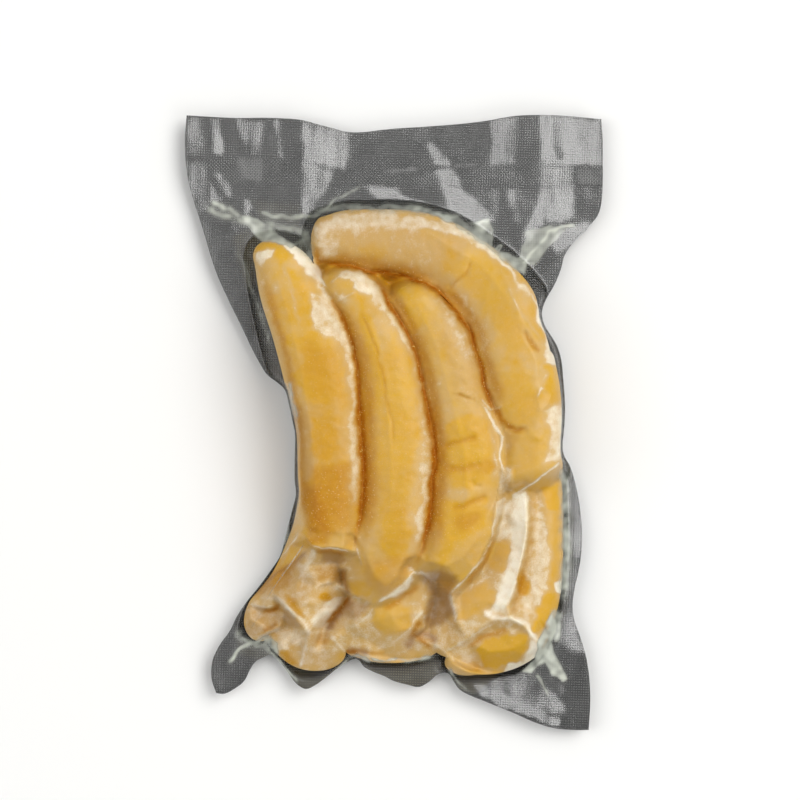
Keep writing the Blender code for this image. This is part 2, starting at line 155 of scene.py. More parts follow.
@dataclass
class Plan:
    """Square raster of the pack seen from above, which all maps share."""

    cell: float = 0.5
    half_across: float = 104.0
    half_along: float = 152.0
    x: Array = field(init=False)
    y: Array = field(init=False)

    def __post_init__(self) -> None:
        """Lay out the cell centres."""
        across = np.arange(-self.half_across, self.half_across + self.cell / 2, self.cell)
        along = np.arange(-self.half_along, self.half_along + self.cell / 2, self.cell)
        self.x, self.y = np.meshgrid(across, along)

    def read(self, values: Array, x: Array, y: Array) -> Array:
        """Read a map between its cells.

        Args:
            values: The map.
            x: Places across.
            y: Places along.

        Returns:
            Each place's value, weighted by its nearness to the four cells round it.
        """
        rows, columns = values.shape
        fi = np.clip((y + self.half_along) / self.cell, 0, rows - JUST_INSIDE)
        fj = np.clip((x + self.half_across) / self.cell, 0, columns - JUST_INSIDE)
        i, j = fi.astype(int), fj.astype(int)
        a, b = fi - i, fj - j
        low = (1 - b) * values[i, j] + b * values[i, j + 1]
        high = (1 - b) * values[i + 1, j] + b * values[i + 1, j + 1]
        return (1 - a) * low + a * high

    def extreme(self, points: Array, highest: bool) -> Array:
        """Find the surface in each cell.

        Args:
            points: Many points of the surface.
            highest: Whether its top counts, or its underside.

        Returns:
            The highest or lowest point of each cell, and far below or above where it has none.
        """
        rows, columns = self.x.shape
        values = np.full(self.x.shape, -NOWHERE if highest else NOWHERE)
        i = np.clip(np.round((points[:, 1] + self.half_along) / self.cell).astype(int), 0, rows - 1)
        j = np.clip(np.round((points[:, 0] + self.half_across) / self.cell).astype(int), 0, columns - 1)
        (np.maximum if highest else np.minimum).at(values, (i, j), points[:, 2])
        return values

    def blur(self, values: Array, radius: float, stretch: float = 1.0) -> Array:
        """Blur a map.

        Args:
            values: The map.
            radius: Spread of the blur.
            stretch: How many times further it spreads along the pouch than across it.

        Returns:
            The map whose spectrum is multiplied with exp(-(k r)^2 / 2).
        """
        rows, columns = values.shape
        fy = np.fft.fftfreq(rows, self.cell)[:, None] * 2 * np.pi * stretch
        fx = np.fft.rfftfreq(columns, self.cell)[None] * 2 * np.pi
        return np.fft.irfft2(np.fft.rfft2(values) * np.exp(-(fx**2 + fy**2) * radius**2 / 2), s=values.shape)

    def noise(self, grain: float, seed: int, stretch: float = 1.0) -> Array:
        """Make smooth noise.

        Args:
            grain: Length of its lumps.
            seed: Which noise.
            stretch: How many times longer the lumps are along the pouch.

        Returns:
            Blurred random values, divided by their spread.
        """
        raw = np.random.default_rng(seed).standard_normal(self.x.shape)
        soft = self.blur(raw, grain / BLURS_A_LUMP, stretch)
        return soft / soft.std()

    def spread(self, values: Array, reach: float, highest: bool) -> Array:
        """Widen a map's high or low places.

        Args:
            values: The map.
            reach: Radius of the disc that is searched round each cell.
            highest: Whether the high places widen, or the low ones.

        Returns:
            The highest or lowest value within the disc.
        """
        best, cells = values.copy(), int(round(reach / self.cell))
        for di in range(-cells, cells + 1):
            for dj in range(-cells, cells + 1):
                if 0 < di * di + dj * dj <= cells * cells + 1:
                    moved = np.roll(values, (di, dj), (0, 1))
                    best = np.maximum(best, moved) if highest else np.minimum(best, moved)
        return best

    def drape(self, values: Array, slope: float, reach: float) -> Array:
        """Hang a sheet over a map.

        Args:
            values: The map under it.
            slope: How steeply the sheet may fall.
            reach: How far from a high place it may hang.

        Returns:
            The lowest map above the values that nowhere falls faster than the slope.
        """
        best = values.copy()
        steps = [(1, 0), (-1, 0), (0, 1), (0, -1), (1, 1), (1, -1), (-1, 1), (-1, -1),
                 (2, 1), (2, -1), (-2, 1), (-2, -1), (1, 2), (-1, 2), (1, -2), (-1, -2)]
        for _ in range(int(reach / self.cell)):
            for di, dj in steps:
                moved = np.roll(best, (di, dj), (0, 1))
                best = np.maximum(best, moved - slope * self.cell * math.hypot(di, dj))
        return best


@dataclass(frozen=True)
class Survey:
    """Where the camera stands, and how a place on the pack shows in its 800 by 800 frame."""

    size: float = 800.0
    view_width: float = 382.4
    distance: float = 1487.0
    centre: tuple[float, float] = (2.87, 10.75)

    def seen(self, x: Array, y: Array, z: Array) -> tuple[Array, Array]:
        """Frame position, across and down, of places on the pack: a pinhole view straight down."""
        scale = self.size / self.view_width / (1 - z / self.distance)
        return self.size / 2 + (x - self.centre[0]) * scale, self.size / 2 - (y - self.centre[1]) * scale

    def placed(self, across: Array, down: Array, z: Array) -> tuple[Array, Array]:
        """Where on the pack a frame position lies at a given height: the view turned round."""
        scale = self.size / self.view_width / (1 - z / self.distance)
        right, up = (across - self.size / 2) / scale, (self.size / 2 - down) / scale
        return self.centre[0] + right, self.centre[1] + up


@dataclass(frozen=True)
class Mark:
    """A soft line or patch on the pack, with its points in the frame."""

    points: Line
    value: float
    width: float
    closed: bool = False
    sharp: bool = False

    def mask(self, across: Array, down: Array) -> Array:
        """How fully the mark covers each place.

        Args:
            across: Frame positions across.
            down: Frame positions down.

        Returns:
            For a patch, a smooth step over its soft edge. For a line, exp(-(d/w)^2), or exp(-d/w) if sharp,
            thinning out towards both ends.
        """
        p = np.array(self.points, float)
        reach = MARK_REACH * self.width + 1.0
        low, high = p.min(0) - reach, p.max(0) + reach
        near = (across > low[0]) & (across < high[0]) & (down > low[1]) & (down < high[1])
        result = np.zeros(across.shape)
        x, y = across[near], down[near]
        if self.closed:
            away, _ = line_distance([*self.points, self.points[0]], x, y)
            signed = np.where(inside(self.points, x, y), away, -away)
            result[near] = ease(-self.width, self.width, signed)
            return result
        away, share = line_distance(self.points, x, y)
        ends = ease(0, LINE_TAPER, np.minimum(share, 1 - share) + LINE_STUB)
        fall = np.exp(-away / self.width) if self.sharp else np.exp(-((away / self.width) ** 2))
        result[near] = fall * ends
        return result


def line(value: float, width: float, *points: tuple[float, float]) -> Mark:
    """A soft line mark."""
    return Mark(points, value, width)


def ridge(value: float, width: float, *points: tuple[float, float]) -> Mark:
    """A line mark with a sharp crest."""
    return Mark(points, value, width, sharp=True)


def patch(value: float, width: float, *points: tuple[float, float]) -> Mark:
    """A closed patch with a soft edge."""
    return Mark(points, value, width, closed=True)


def spot(value: float, width: float, centre: tuple[float, float], radii: tuple[float, float],
         turn: float = 0.0) -> Mark:
    """An oval patch.

    Args:
        value: What it stands for.
        width: Softness of its edge.
        centre: Its middle in the frame.
        radii: Its half length and half width.
        turn: Its turn in degrees.

    Returns:
        The mark, with 20 points c + (a cos t, b sin t), turned.
    """
    angles = np.linspace(0, 2 * np.pi, 20, endpoint=False)
    u, v, t = radii[0] * np.cos(angles), radii[1] * np.sin(angles), math.radians(turn)
    x, y = centre[0] + u * math.cos(t) - v * math.sin(t), centre[1] + u * math.sin(t) + v * math.cos(t)
    return Mark(tuple(zip(x.tolist(), y.tolist())), value, width, closed=True)


def laid(start: Array, marks: Sequence[Mark], across: Array, down: Array) -> Array:
    """Lay marks over a map.

    Args:
        start: The map before any mark.
        marks: The marks, each over the ones before it.
        across: Frame positions across.
        down: Frame positions down.

    Returns:
        The map, where a mark of value v and cover m turns a value into m v + (1 - m) of it.
    """
    values = start
    for mark in marks:
        cover = mark.mask(across, down)
        values = values * (1 - cover) + mark.value * cover
    return values


def gathered(marks: Sequence[Mark], across: Array, down: Array) -> Array:
    """Unite marks.

    Args:
        marks: The marks.
        across: Frame positions across.
        down: Frame positions down.

    Returns:
        1 less the product of (1 - value * cover) over the marks.
    """
    left = np.ones(across.shape)
    for mark in marks:
        left = left * (1 - mark.value * mark.mask(across, down))
    return 1 - left


def added(marks: Sequence[Mark], across: Array, down: Array) -> Array:
    """Sum marks.

    Args:
        marks: The marks.
        across: Frame positions across.
        down: Frame positions down.

    Returns:
        The sum of value * cover over the marks.
    """
    total = np.zeros(across.shape)
    for mark in marks:
        total = total + mark.value * mark.mask(across, down)
    return total


SMALLEST_RING = 0.02  # angle short of a dome's pole at which its last section stands
# Lowest and highest level of the bananas in each layer
UPPER_LEVELS = (24.35, 48.0)
LOWER_LEVELS = (-0.65, 24.0)


class Layer(Enum):
    """The two layers of bananas."""

    UPPER = "upper"
    LOWER = "lower"


@dataclass(frozen=True)
class BananaShape:
    """One banana: its sides in plan from stem end to tip, its rounded ends and where it sags."""

    name: str
    layer: Layer
    left: Line
    right: Line
    ends: tuple[float, float]
    sag: Line = ((0, 0), (1, 0))
    overlap: float = 2.8
    roundness: float = 2.3
    underside: float = 0.95

    def heights(self) -> tuple[float, float]:
        """Lowest and highest level of the banana before it sags."""
        return UPPER_LEVELS if self.layer is Layer.UPPER else LOWER_LEVELS

    def stations(self, body: int, dome: int) -> tuple[Array, Array, Array, Array, Array]:
        """Cross-sections from end to end.

        Args:
            body: How many lie between the domes.
            dome: How many close each end.

        Returns:
            Centre, direction across, half width, size factor and drop of each section. Along a dome the
            section's size is cos(a) where it stands sin(a) of the dome's length further out.
        """
        share = np.linspace(0, 1, body)
        left, right = smooth_curve(self.left, share), smooth_curve(self.right, share)
        centre, across = (left + right) / 2, (right - left) / 2
        half = np.linalg.norm(across, axis=1)
        across = across / half[:, None]
        half = half + self.overlap / 2
        turn = np.linspace(0, np.pi / 2, dome + 1)[1:]
        turn[-1] = np.pi / 2 - SMALLEST_RING
        out_a = (centre[0] - centre[3]) / np.linalg.norm(centre[0] - centre[3])
        out_b = (centre[-1] - centre[-4]) / np.linalg.norm(centre[-1] - centre[-4])
        first = centre[0] + np.sin(turn[::-1])[:, None] * self.ends[0] * out_a
        last = centre[-1] + np.sin(turn)[:, None] * self.ends[1] * out_b
        ones = np.ones(dome)[:, None]
        centre = np.vstack([first, centre, last])
        across = np.vstack([ones * across[0], across, ones * across[-1]])
        size = np.concatenate([np.cos(turn[::-1]), np.ones(body), np.cos(turn)])
        half = np.concatenate([np.full(dome, half[0]), half, np.full(dome, half[-1])]) * size
        share = np.concatenate([np.zeros(dome), share, np.ones(dome)])
        knots = np.array(self.sag, float)
        k = np.clip(np.searchsorted(knots[:, 0], share, side="right") - 1, 0, len(knots) - 2)
        t = ease(0, 1, (share - knots[k, 0]) / (knots[k + 1, 0] - knots[k, 0]))
        drop = knots[k, 1] + (knots[k + 1, 1] - knots[k, 1]) * t
        return centre, across, half, size, drop

    def surface(self, body: int, dome: int, angles: Array) -> Array:
        """Superelliptic tube between the banana's sides, closed by domes.

        Args:
            body: Sections between the domes.
            dome: Sections in each dome.
            angles: Turns round the section, from the right side over the top.

        Returns:
            Points by section and angle: centre + half |cos|^p across, middle + height |sin|^p up,
            with p = 2 / roundness.
        """
        centre, across, half, size, drop = self.stations(body, dome)
        power = 2 / self.roundness
        side = np.sign(np.cos(angles)) * np.abs(np.cos(angles)) ** power
        rise = np.sign(np.sin(angles)) * np.abs(np.sin(angles)) ** power
        low, high = self.heights()
        flat = centre[:, None] + half[:, None, None] * side[None, :, None] * across[:, None]
        z = (low + high) / 2 - drop[:, None] + (high - low) / 2 * size[:, None] * rise[None]
        return np.dstack([flat, np.maximum(z, self.underside)])


# Each layer's bananas from left to right: sides from stem end to tip, lengths of the rounded ends,
# and how far the banana sags at shares of its length
UPPER = (
    BananaShape(
        "banana_upper_1", Layer.UPPER,
        ((-64, 74.5), (-61, 58), (-55, 39.5), (-49.5, 18.5), (-45, -3.5), (-43.5, -24.5), (-42, -41.5),
         (-40.5, -52.5)),
        ((-38.3, 73), (-29.5, 58), (-23, 43.5), (-19, 27.5), (-17, 10.5), (-16, -8), (-16, -27), (-17, -41.5),
         (-18, -52.5)),
        (13.0, 7.0), ((0, 10), (0.08, 8), (0.30, 0))),
    BananaShape(
        "banana_upper_2", Layer.UPPER,
        ((-30.2, 60.5), (-23.2, 46), (-18.2, 28), (-15.5, 10.5), (-14.5, -8), (-14.5, -27), (-15.5, -41.5),
         (-17, -54.5), (-21, -69.5)),
        ((-8, 64.5), (1.5, 51.5), (8, 37.5), (12, 23.5), (16, 7), (18, -8), (18.5, -18.5), (17, -31.5),
         (15.5, -45.5), (13.5, -57), (11, -67)),
        (11.5, 17.5), ((0, 4.5), (0.2, 0), (0.85, 0), (1, 2))),
    BananaShape(
        "banana_upper_3", Layer.UPPER,
        ((3, 51.5), (9.5, 37.5), (13.5, 23.5), (17.2, 7), (19.5, -8), (20, -18.5), (18.5, -31.5), (17, -45.5),
         (15, -57), (13.5, -65)),
        ((20.5, 59), (28.8, 50.8), (34.8, 40.5), (38, 31.5), (40.8, 23), (44, 8.5), (46.5, -0.5), (49, -8),
         (50, -21), (47, -41.5), (43.5, -57), (38, -68)),
        (12.0, 13.0), ((0, 3.0), (0.15, 0), (0.9, 0), (1, 1))),
    BananaShape(
        "banana_upper_4", Layer.UPPER,
        ((-33.5, 75), (-23, 73.5), (-11, 71), (2, 69), (12, 66), (21.5, 61.5), (29.5, 53), (35.5, 42),
         (38.5, 32.5), (42, 24), (45, 10.5), (48, 1), (51, -8), (51.2, -24.5)),
        ((-33.5, 95.5), (-23, 98.5), (-9, 99), (7.5, 98.5), (21.5, 95.5), (34.5, 89), (48.5, 79),
         (58.5, 68.5), (64.5, 59.5), (67.3, 48.5), (71.5, 34), (75.3, 15), (77, -1), (77, -16.5)),
        (5.5, 8.5), ((0, 12), (0.40, 11), (0.64, 0))),
)
LOWER = (
    BananaShape(
        "banana_lower_1", Layer.LOWER,
        ((-52, 66), (-48, 48), (-44, 30), (-44, 10.5), (-43, -8.5), (-43, -27), (-45, -42.5), (-48.5, -54.5),
         (-56.3, -71.5), (-67, -85)),
        ((-31, 68), (-26, 50), (-22.5, 30), (-22, 10.5), (-22, -8.5), (-22.5, -27), (-26, -43.5),
         (-32.5, -59.5), (-43, -75.5), (-51.5, -94.5)),
        (8.5, 15.0)),
    BananaShape(
        "banana_lower_2", Layer.LOWER,
        ((-36, 74), (-28, 58), (-23, 36), (-21, 10.5), (-20.5, -8.5), (-21.5, -27), (-24.5, -43.5),
         (-31, -60.5), (-44.5, -78), (-57, -93.5), (-56.5, -103)),
        ((-12, 72), (-3, 56), (1, 36), (1, 10.5), (1, -8.5), (0, -27), (-2.5, -46), (-7.5, -63), (-15, -79),
         (-21, -96), (-24, -108)),
        (9.0, 12.0)),
    BananaShape(
        "banana_lower_3", Layer.LOWER,
        ((-9, 68), (-1, 54), (2.5, 36), (2.5, 10.5), (2.5, -8.5), (1.5, -27), (-1, -46), (-6, -64),
         (-13.5, -80.5), (-21, -97), (-22.5, -106.5)),
        ((16, 66), (24, 52), (26, 34.5), (25.5, 10.5), (26.5, -8.5), (27.5, -27), (27, -46), (24.5, -64),
         (21, -80), (18.5, -96), (19.5, -107)),
        (9.0, 7.0)),
    BananaShape(
        "banana_lower_4", Layer.LOWER,
        ((14, 64), (22, 54), (26.5, 34), (27, 10.5), (28, -8.5), (29, -27), (28.5, -46), (25, -64),
         (20.5, -80), (17.5, -94.5), (19, -105)),
        ((34, 66), (43, 52), (50, 30), (52, 10.5), (54.5, -8.5), (56.5, -22.5), (60, -36.5), (60.5, -55.5),
         (58, -74.5), (54.5, -89.5), (52, -102)),
        (8.5, 8.0)),
    BananaShape(
        "banana_lower_5", Layer.LOWER,
        ((52, 26), (53.5, 10.5), (56, -8.5), (58, -22.5), (61.5, -36.5), (61, -55.5), (57.5, -74.5),
         (55.5, -84), (53, -91.5), (48.5, -98.5), (42.5, -104), (35, -107)),
        ((74, 30), (76.5, 17.5), (77.5, 4), (77, -10.5), (78, -22), (79, -43.5), (79, -62.5), (78, -79),
         (74.5, -94.5), (69.5, -106.5), (59.5, -114), (48.5, -117.5), (38, -118)),
        (7.5, 12.5)),
)


@dataclass(frozen=True)
class Outline:
    """The pouch's four edges in plan, as the photograph shows them, and the sheet stretched between them."""

    top: Line = (
        (-98.5, 146.0), (-88.4, 145.4), (-75, 144.8), (-56, 144.7), (-44.6, 143.8), (-37, 141.9),
        (-29.4, 140), (-21.8, 138.2), (-14.2, 138.1), (-6.6, 139), (4.8, 140), (20, 141), (31.4, 141.9),
        (42.8, 143.3), (54.2, 145.2), (63, 146), (76, 146), (88.4, 145.2), (98.6, 144.2))
    right: Line = (
        (98.6, 144.2), (99.3, 129.5), (98.5, 103.5), (93, 93.5), (86.5, 87.2), (81.3, 80), (79.3, 72.9),
        (76.3, 65.5), (72.3, 58.6), (70.3, 52.5), (71.3, 47), (73.8, 42.5), (77.2, 37), (79.5, 29.9),
        (80.5, 20), (81.3, 8.4), (81, -1), (80.2, -10), (80.8, -15.5), (84, -21.5), (86.3, -29.5), (88, -38),
        (89.2, -49), (89.3, -57), (88.8, -64), (87.6, -71), (86, -78), (84.9, -86), (85.6, -93.5),
        (88.2, -101), (91, -110), (92.7, -120), (93.3, -132), (92.5, -146))
    bottom: Line = (
        (-84.5, -128.5), (-80.7, -128.9), (-76, -126.6), (-71.2, -122.8), (-68.2, -117), (-65.5, -113.4),
        (-61.7, -111.4), (-58.6, -110.1), (-56, -111.8), (-52.2, -116.1), (-49.9, -119.4), (-47.5, -122.8),
        (-45.1, -125.1), (-41.8, -126.6), (-38, -125.1), (-33.2, -121.8), (-28.5, -118), (-23.7, -114.7),
        (-19, -112.3), (-16.6, -112.9), (-14.2, -116), (-9.5, -118.5), (-4.7, -120.4), (0, -122.8),
        (7.1, -124.7), (11.9, -125.6), (16.6, -123.2), (20.8, -119.7), (25.5, -119), (28.5, -123.2),
        (31.2, -126.8), (35.7, -129.4), (45.2, -133.2), (57, -138), (66.5, -142.2), (76, -145.1),
        (85.5, -146), (92.5, -146))
    left: Line = (
        (-84.5, -128.5), (-86.7, -121.5), (-86.2, -113), (-82.7, -105.5), (-78, -99), (-74.6, -92),
        (-69.8, -84.8), (-64.3, -78), (-58.8, -70.5), (-54.2, -63.5), (-52, -56), (-50.3, -49),
        (-48.4, -41.8), (-46.6, -34), (-47.2, -27), (-47.2, -18), (-47, -6), (-48.4, 1.5), (-50, 9),
        (-51.8, 15.5), (-56, 19.5), (-60.5, 23), (-64.8, 30), (-68.4, 37), (-71.8, 44.3), (-78.8, 58.6),
        (-85, 72.9), (-91.5, 94), (-96, 108), (-98.5, 120), (-99.3, 134), (-98.5, 146))

    def sheet(self, across: int, along: int) -> Array:
        """Grid of plan positions that fills the outline.

        Args:
            across: Points from left to right.
            along: Points from bottom to top.

        Returns:
            The Coons patch: both pairs of edges blended, less the blend of the corners.
        """
        u, v = np.linspace(0, 1, across), np.linspace(0, 1, along)
        bottom, top = smooth_curve(self.bottom, u), smooth_curve(self.top, u)
        left, right = smooth_curve(self.left, v), smooth_curve(self.right, 1 - v)
        a, b = u[None, :, None], v[:, None, None]
        corners = ((1 - a) * (1 - b) * bottom[0] + a * (1 - b) * bottom[-1]
                   + (1 - a) * b * top[0] + a * b * top[-1])
        return (1 - b) * bottom[None] + b * top[None] + (1 - a) * left[:, None] + a * right[:, None] - corners

    def edge_distance(self, x: Array, y: Array) -> Array:
        """Measure how far places are from the pouch's edge.

        Args:
            x: Places across.
            y: Places along.

        Returns:
            The distance to the nearest edge, and zero outside.
        """
        share = np.linspace(0, 1, 90)
        others = (smooth_curve(edge, share)[::-1] for edge in (self.right, self.top, self.left))
        ring = np.vstack([smooth_curve(self.bottom, share), *others]).tolist()
        away, _ = line_distance(ring, x, y)
        return np.where(inside(ring, x, y), away, 0.0)


# Level at which the films meet, and its tilted panels: middle, reach and slope
SEAM_HEIGHT = 9.0
SEAM_PANELS = (
    ((-87.0, 133.0), (7.0, 20.0), (-0.17, 0.0)), ((-70.0, 136.0), (8.5, 18.0), (0.19, 0.0)),
    ((-55.0, 137.0), (5.0, 16.0), (-0.19, 0.0)), ((-32.0, 133.0), (15.0, 20.0), (-0.21, 0.03)),
    ((20.0, 132.0), (9.0, 12.0), (0.18, -0.06)), ((50.0, 137.0), (9.0, 20.0), (0.20, 0.0)),
    ((80.0, 132.0), (19.0, 24.0), (-0.16, 0.04)), ((-94.0, 114.0), (8.0, 15.0), (0.12, 0.16)),
    ((88.0, 96.0), (12.0, 10.0), (-0.10, -0.18)), ((82.0, -124.0), (14.0, 12.0), (-0.10, -0.10)),
    ((62.0, -131.0), (14.0, 8.0), (0.02, -0.19)), ((-79.0, -114.0), (8.0, 10.0), (0.14, 0.12)),
)

# Crests and valleys of the film over the lower tips: frame position and height in millimetres
FOLDS = (
    ((300, 532, 40), (306, 538, 44), (312, 546, 46), (320, 548.5, 46.5), (332, 547.5, 46.8), (343, 549, 46),
     (352, 552, 43)),
    ((311, 550, 35), (320, 552.5, 33), (332, 552, 32.5), (343, 553.5, 32), (351, 557, 33)),
    ((354.5, 540, 40.5), (358, 553, 42), (364, 567, 41.5)),
    ((309, 556, 33), (306, 566, 30), (297, 581, 27), (285, 588, 24.5), (273, 594, 23)),
    ((273, 594, 23), (283, 603, 26), (297, 621, 27), (308, 634, 25.5), (300, 668, 14)),
    ((273, 594, 23), (270, 609, 19), (262, 606.5, 18), (249, 603.5, 14)),
    ((262, 613, 13), (270, 611.5, 13.5), (281, 605.5, 16), (284, 614, 14.5), (284, 624, 12.5), (295, 631, 15),
     (305, 636.5, 19)),
    ((281, 626, 17.5), (270, 631, 17), (258, 638, 14)),
    ((281, 629.5, 12), (270, 636, 11)),
    ((332, 581.5, 26), (318, 586, 27.5), (310, 594, 28), (306, 603, 28.5)),
    ((337, 563, 25), (341, 574, 20), (341.5, 581.5, 18)),
    ((348, 596, 16), (338.5, 610, 14), (327, 624, 13), (324, 633, 14)),
    ((335.5, 584.5, 22), (347, 591, 27), (358, 596.5, 30.5), (372, 603, 33)),
    ((345, 560, 30), (345.5, 572, 28), (345, 582, 26)),
    ((372, 603, 33), (374, 607, 31), (363.5, 614.5, 27.5), (354.5, 623, 26), (357, 628, 25)),
    ((352, 597.5, 24.5), (362, 602.5, 27)),
    ((327, 630, 16), (333, 638.5, 19), (345, 654, 15)),
    ((372, 603, 33), (382, 600.5, 36), (394, 594, 37), (403, 587, 37.5), (410, 578, 37.5), (416, 571, 37)),
    ((384, 606.5, 30), (398, 599, 29.5), (410, 590, 29), (420, 580, 28)),
    ((406, 566, 38), (416, 571, 37), (425, 572, 35), (434, 574, 33)),
    ((423, 612, 24), (424.5, 628, 19)),
    ((423, 612, 24), (412, 628, 23.5), (400, 641, 21.5), (386, 652, 18)),
    ((429, 598, 24), (431, 612, 16), (428, 628, 14)),
    ((437, 580, 27), (437, 592, 20), (431, 612, 16)),
    ((414, 639, 17.5), (434, 644.5, 17), (444, 652, 19.5)),
    ((498, 506, 44.5), (493, 532, 44.5), (485, 549, 43.5), (475, 569, 42), (460, 583, 40), (450, 593, 36.5),
     (453.5, 607, 30.5), (458, 624, 26.5)),
    ((504, 510, 30), (498.5, 536, 28.5), (491, 553, 27.5), (481, 574, 26.5), (466, 588, 26), (458, 597, 25.5),
     (460, 607, 25.5), (465, 617, 26)),
    ((446, 596, 27), (446, 610, 20), (449, 624, 18)),
    ((525, 490, 31), (527, 528, 31.5), (522, 556, 31.5), (517, 578, 31), (508, 606, 30), (500, 613, 28)),
    ((532, 498, 25.5), (533, 530, 25), (528, 560, 24.5), (523, 582, 24), (514, 608, 25)),
    ((482, 610, 27.5), (491.5, 620, 28.5), (510.5, 618, 31), (522, 624, 31), (533, 636, 29), (541, 645, 24)),
    ((444, 652, 19.5), (466, 638.5, 25), (491.5, 620, 28.5)),
    ((470, 644, 21.5), (492, 630, 24), (512, 627, 27)),
    ((490, 652, 24), (512, 650, 26), (525, 655, 23)),
    ((444, 652, 19.5), (460, 664, 17), (474, 669, 14)),
    ((297, 600, 28), (301, 606, 28)), ((318, 606, 26), (322, 612, 24)), ((378, 620, 29), (392, 616, 30)),
    ((395, 632, 27), (402, 630, 27)), ((250, 618, 17), (256, 622, 17)), ((281, 644, 16.5), (284, 650, 16)),
    ((313, 650, 17), (322, 652, 15.5)), ((344, 628, 20), (350, 634, 20.5)),
    ((501, 556, 28.5), (505, 550, 28.5)), ((472, 603, 27), (480, 600, 28)),
    ((512, 530, 29), (512, 545, 29)), ((350, 640, 19), (368, 640, 21)),
)
FOLDS_RIM = (
    (288, 544), (297, 527), (306, 526), (325, 530), (345, 532), (354, 530), (362, 545), (375, 575),
    (385, 585), (396, 575), (404, 558), (418, 552), (430, 560), (445, 565), (462, 556), (478, 536),
    (486, 515), (493, 500), (505, 490), (525, 478), (536, 490), (541, 520), (540, 560), (534, 590),
    (540, 615), (552, 635), (548, 655), (535, 668), (515, 676), (490, 676), (470, 673), (450, 662),
    (437, 660), (415, 664), (395, 664), (375, 661), (358, 657), (348, 661), (335, 673), (318, 678),
    (300, 678), (285, 671), (270, 659), (258, 646), (245, 641), (235, 632), (240, 615), (246, 600),
    (258, 586), (275, 560),
)

# Where neighbouring bananas of the upper layer meet
GROOVES = (
    ((312, 252), (319, 261), (332, 264), (351, 265), (370, 272), (389, 272), (415, 280), (437, 289),
     (445, 299), (456, 312), (469, 328), (476, 353), (482, 369), (485, 388), (493, 407), (500, 424)),
    ((328, 292), (342, 315), (348, 331), (353, 347), (358, 367), (359, 391), (360, 423), (364, 468),
     (361, 516), (354, 543)),
    ((370, 270), (383, 294), (394, 310), (405, 328), (415, 348), (421, 372), (426, 399), (431, 423),
     (436, 462), (432, 476), (431, 516), (424, 540), (416, 566)),
)

# Lines that show in more than one map: nicks, splits, folds and hollows of single bananas
THIRD_NICK = ((443, 448), (458, 443), (477, 437))
THIRD_DENT = ((447, 469), (464, 468), (482, 464))
THIRD_HOLLOW = ((452, 510), (468, 504), (488, 496))
THIRD_BEND = ((456, 393), (466, 397), (476, 398.5))
ARCH_SPLIT = ((447, 289), (454, 283), (467, 273.5), (471, 262))
ARCH_NICK = ((524, 330), (531, 342), (539.5, 351.6))
SECOND_SPLIT = ((360, 308.5), (378.5, 356), (387, 398), (392.6, 426), (392.6, 449))
SECOND_STEM_FOLD = ((329.5, 284), (336.5, 278), (346, 275), (356, 279), (363, 285))
SECOND_SIDE_FOLD = ((333.7, 303), (346, 297), (356, 292))
LEFT_DENT = ((286.4, 597), (295, 599.4), (304.8, 615.7), (303.8, 620), (290.7, 608))
LEFT_HOLLOW = ((349, 596), (344, 605), (334, 614.6), (325.5, 623))
LEFT_SLIT = ((262, 631), (278, 622))
LOW_GAP = ((345, 652.5), (358, 652.5))
RIGHT_BRUISE = ((524, 585), (6.0, 11.0), 15.0)

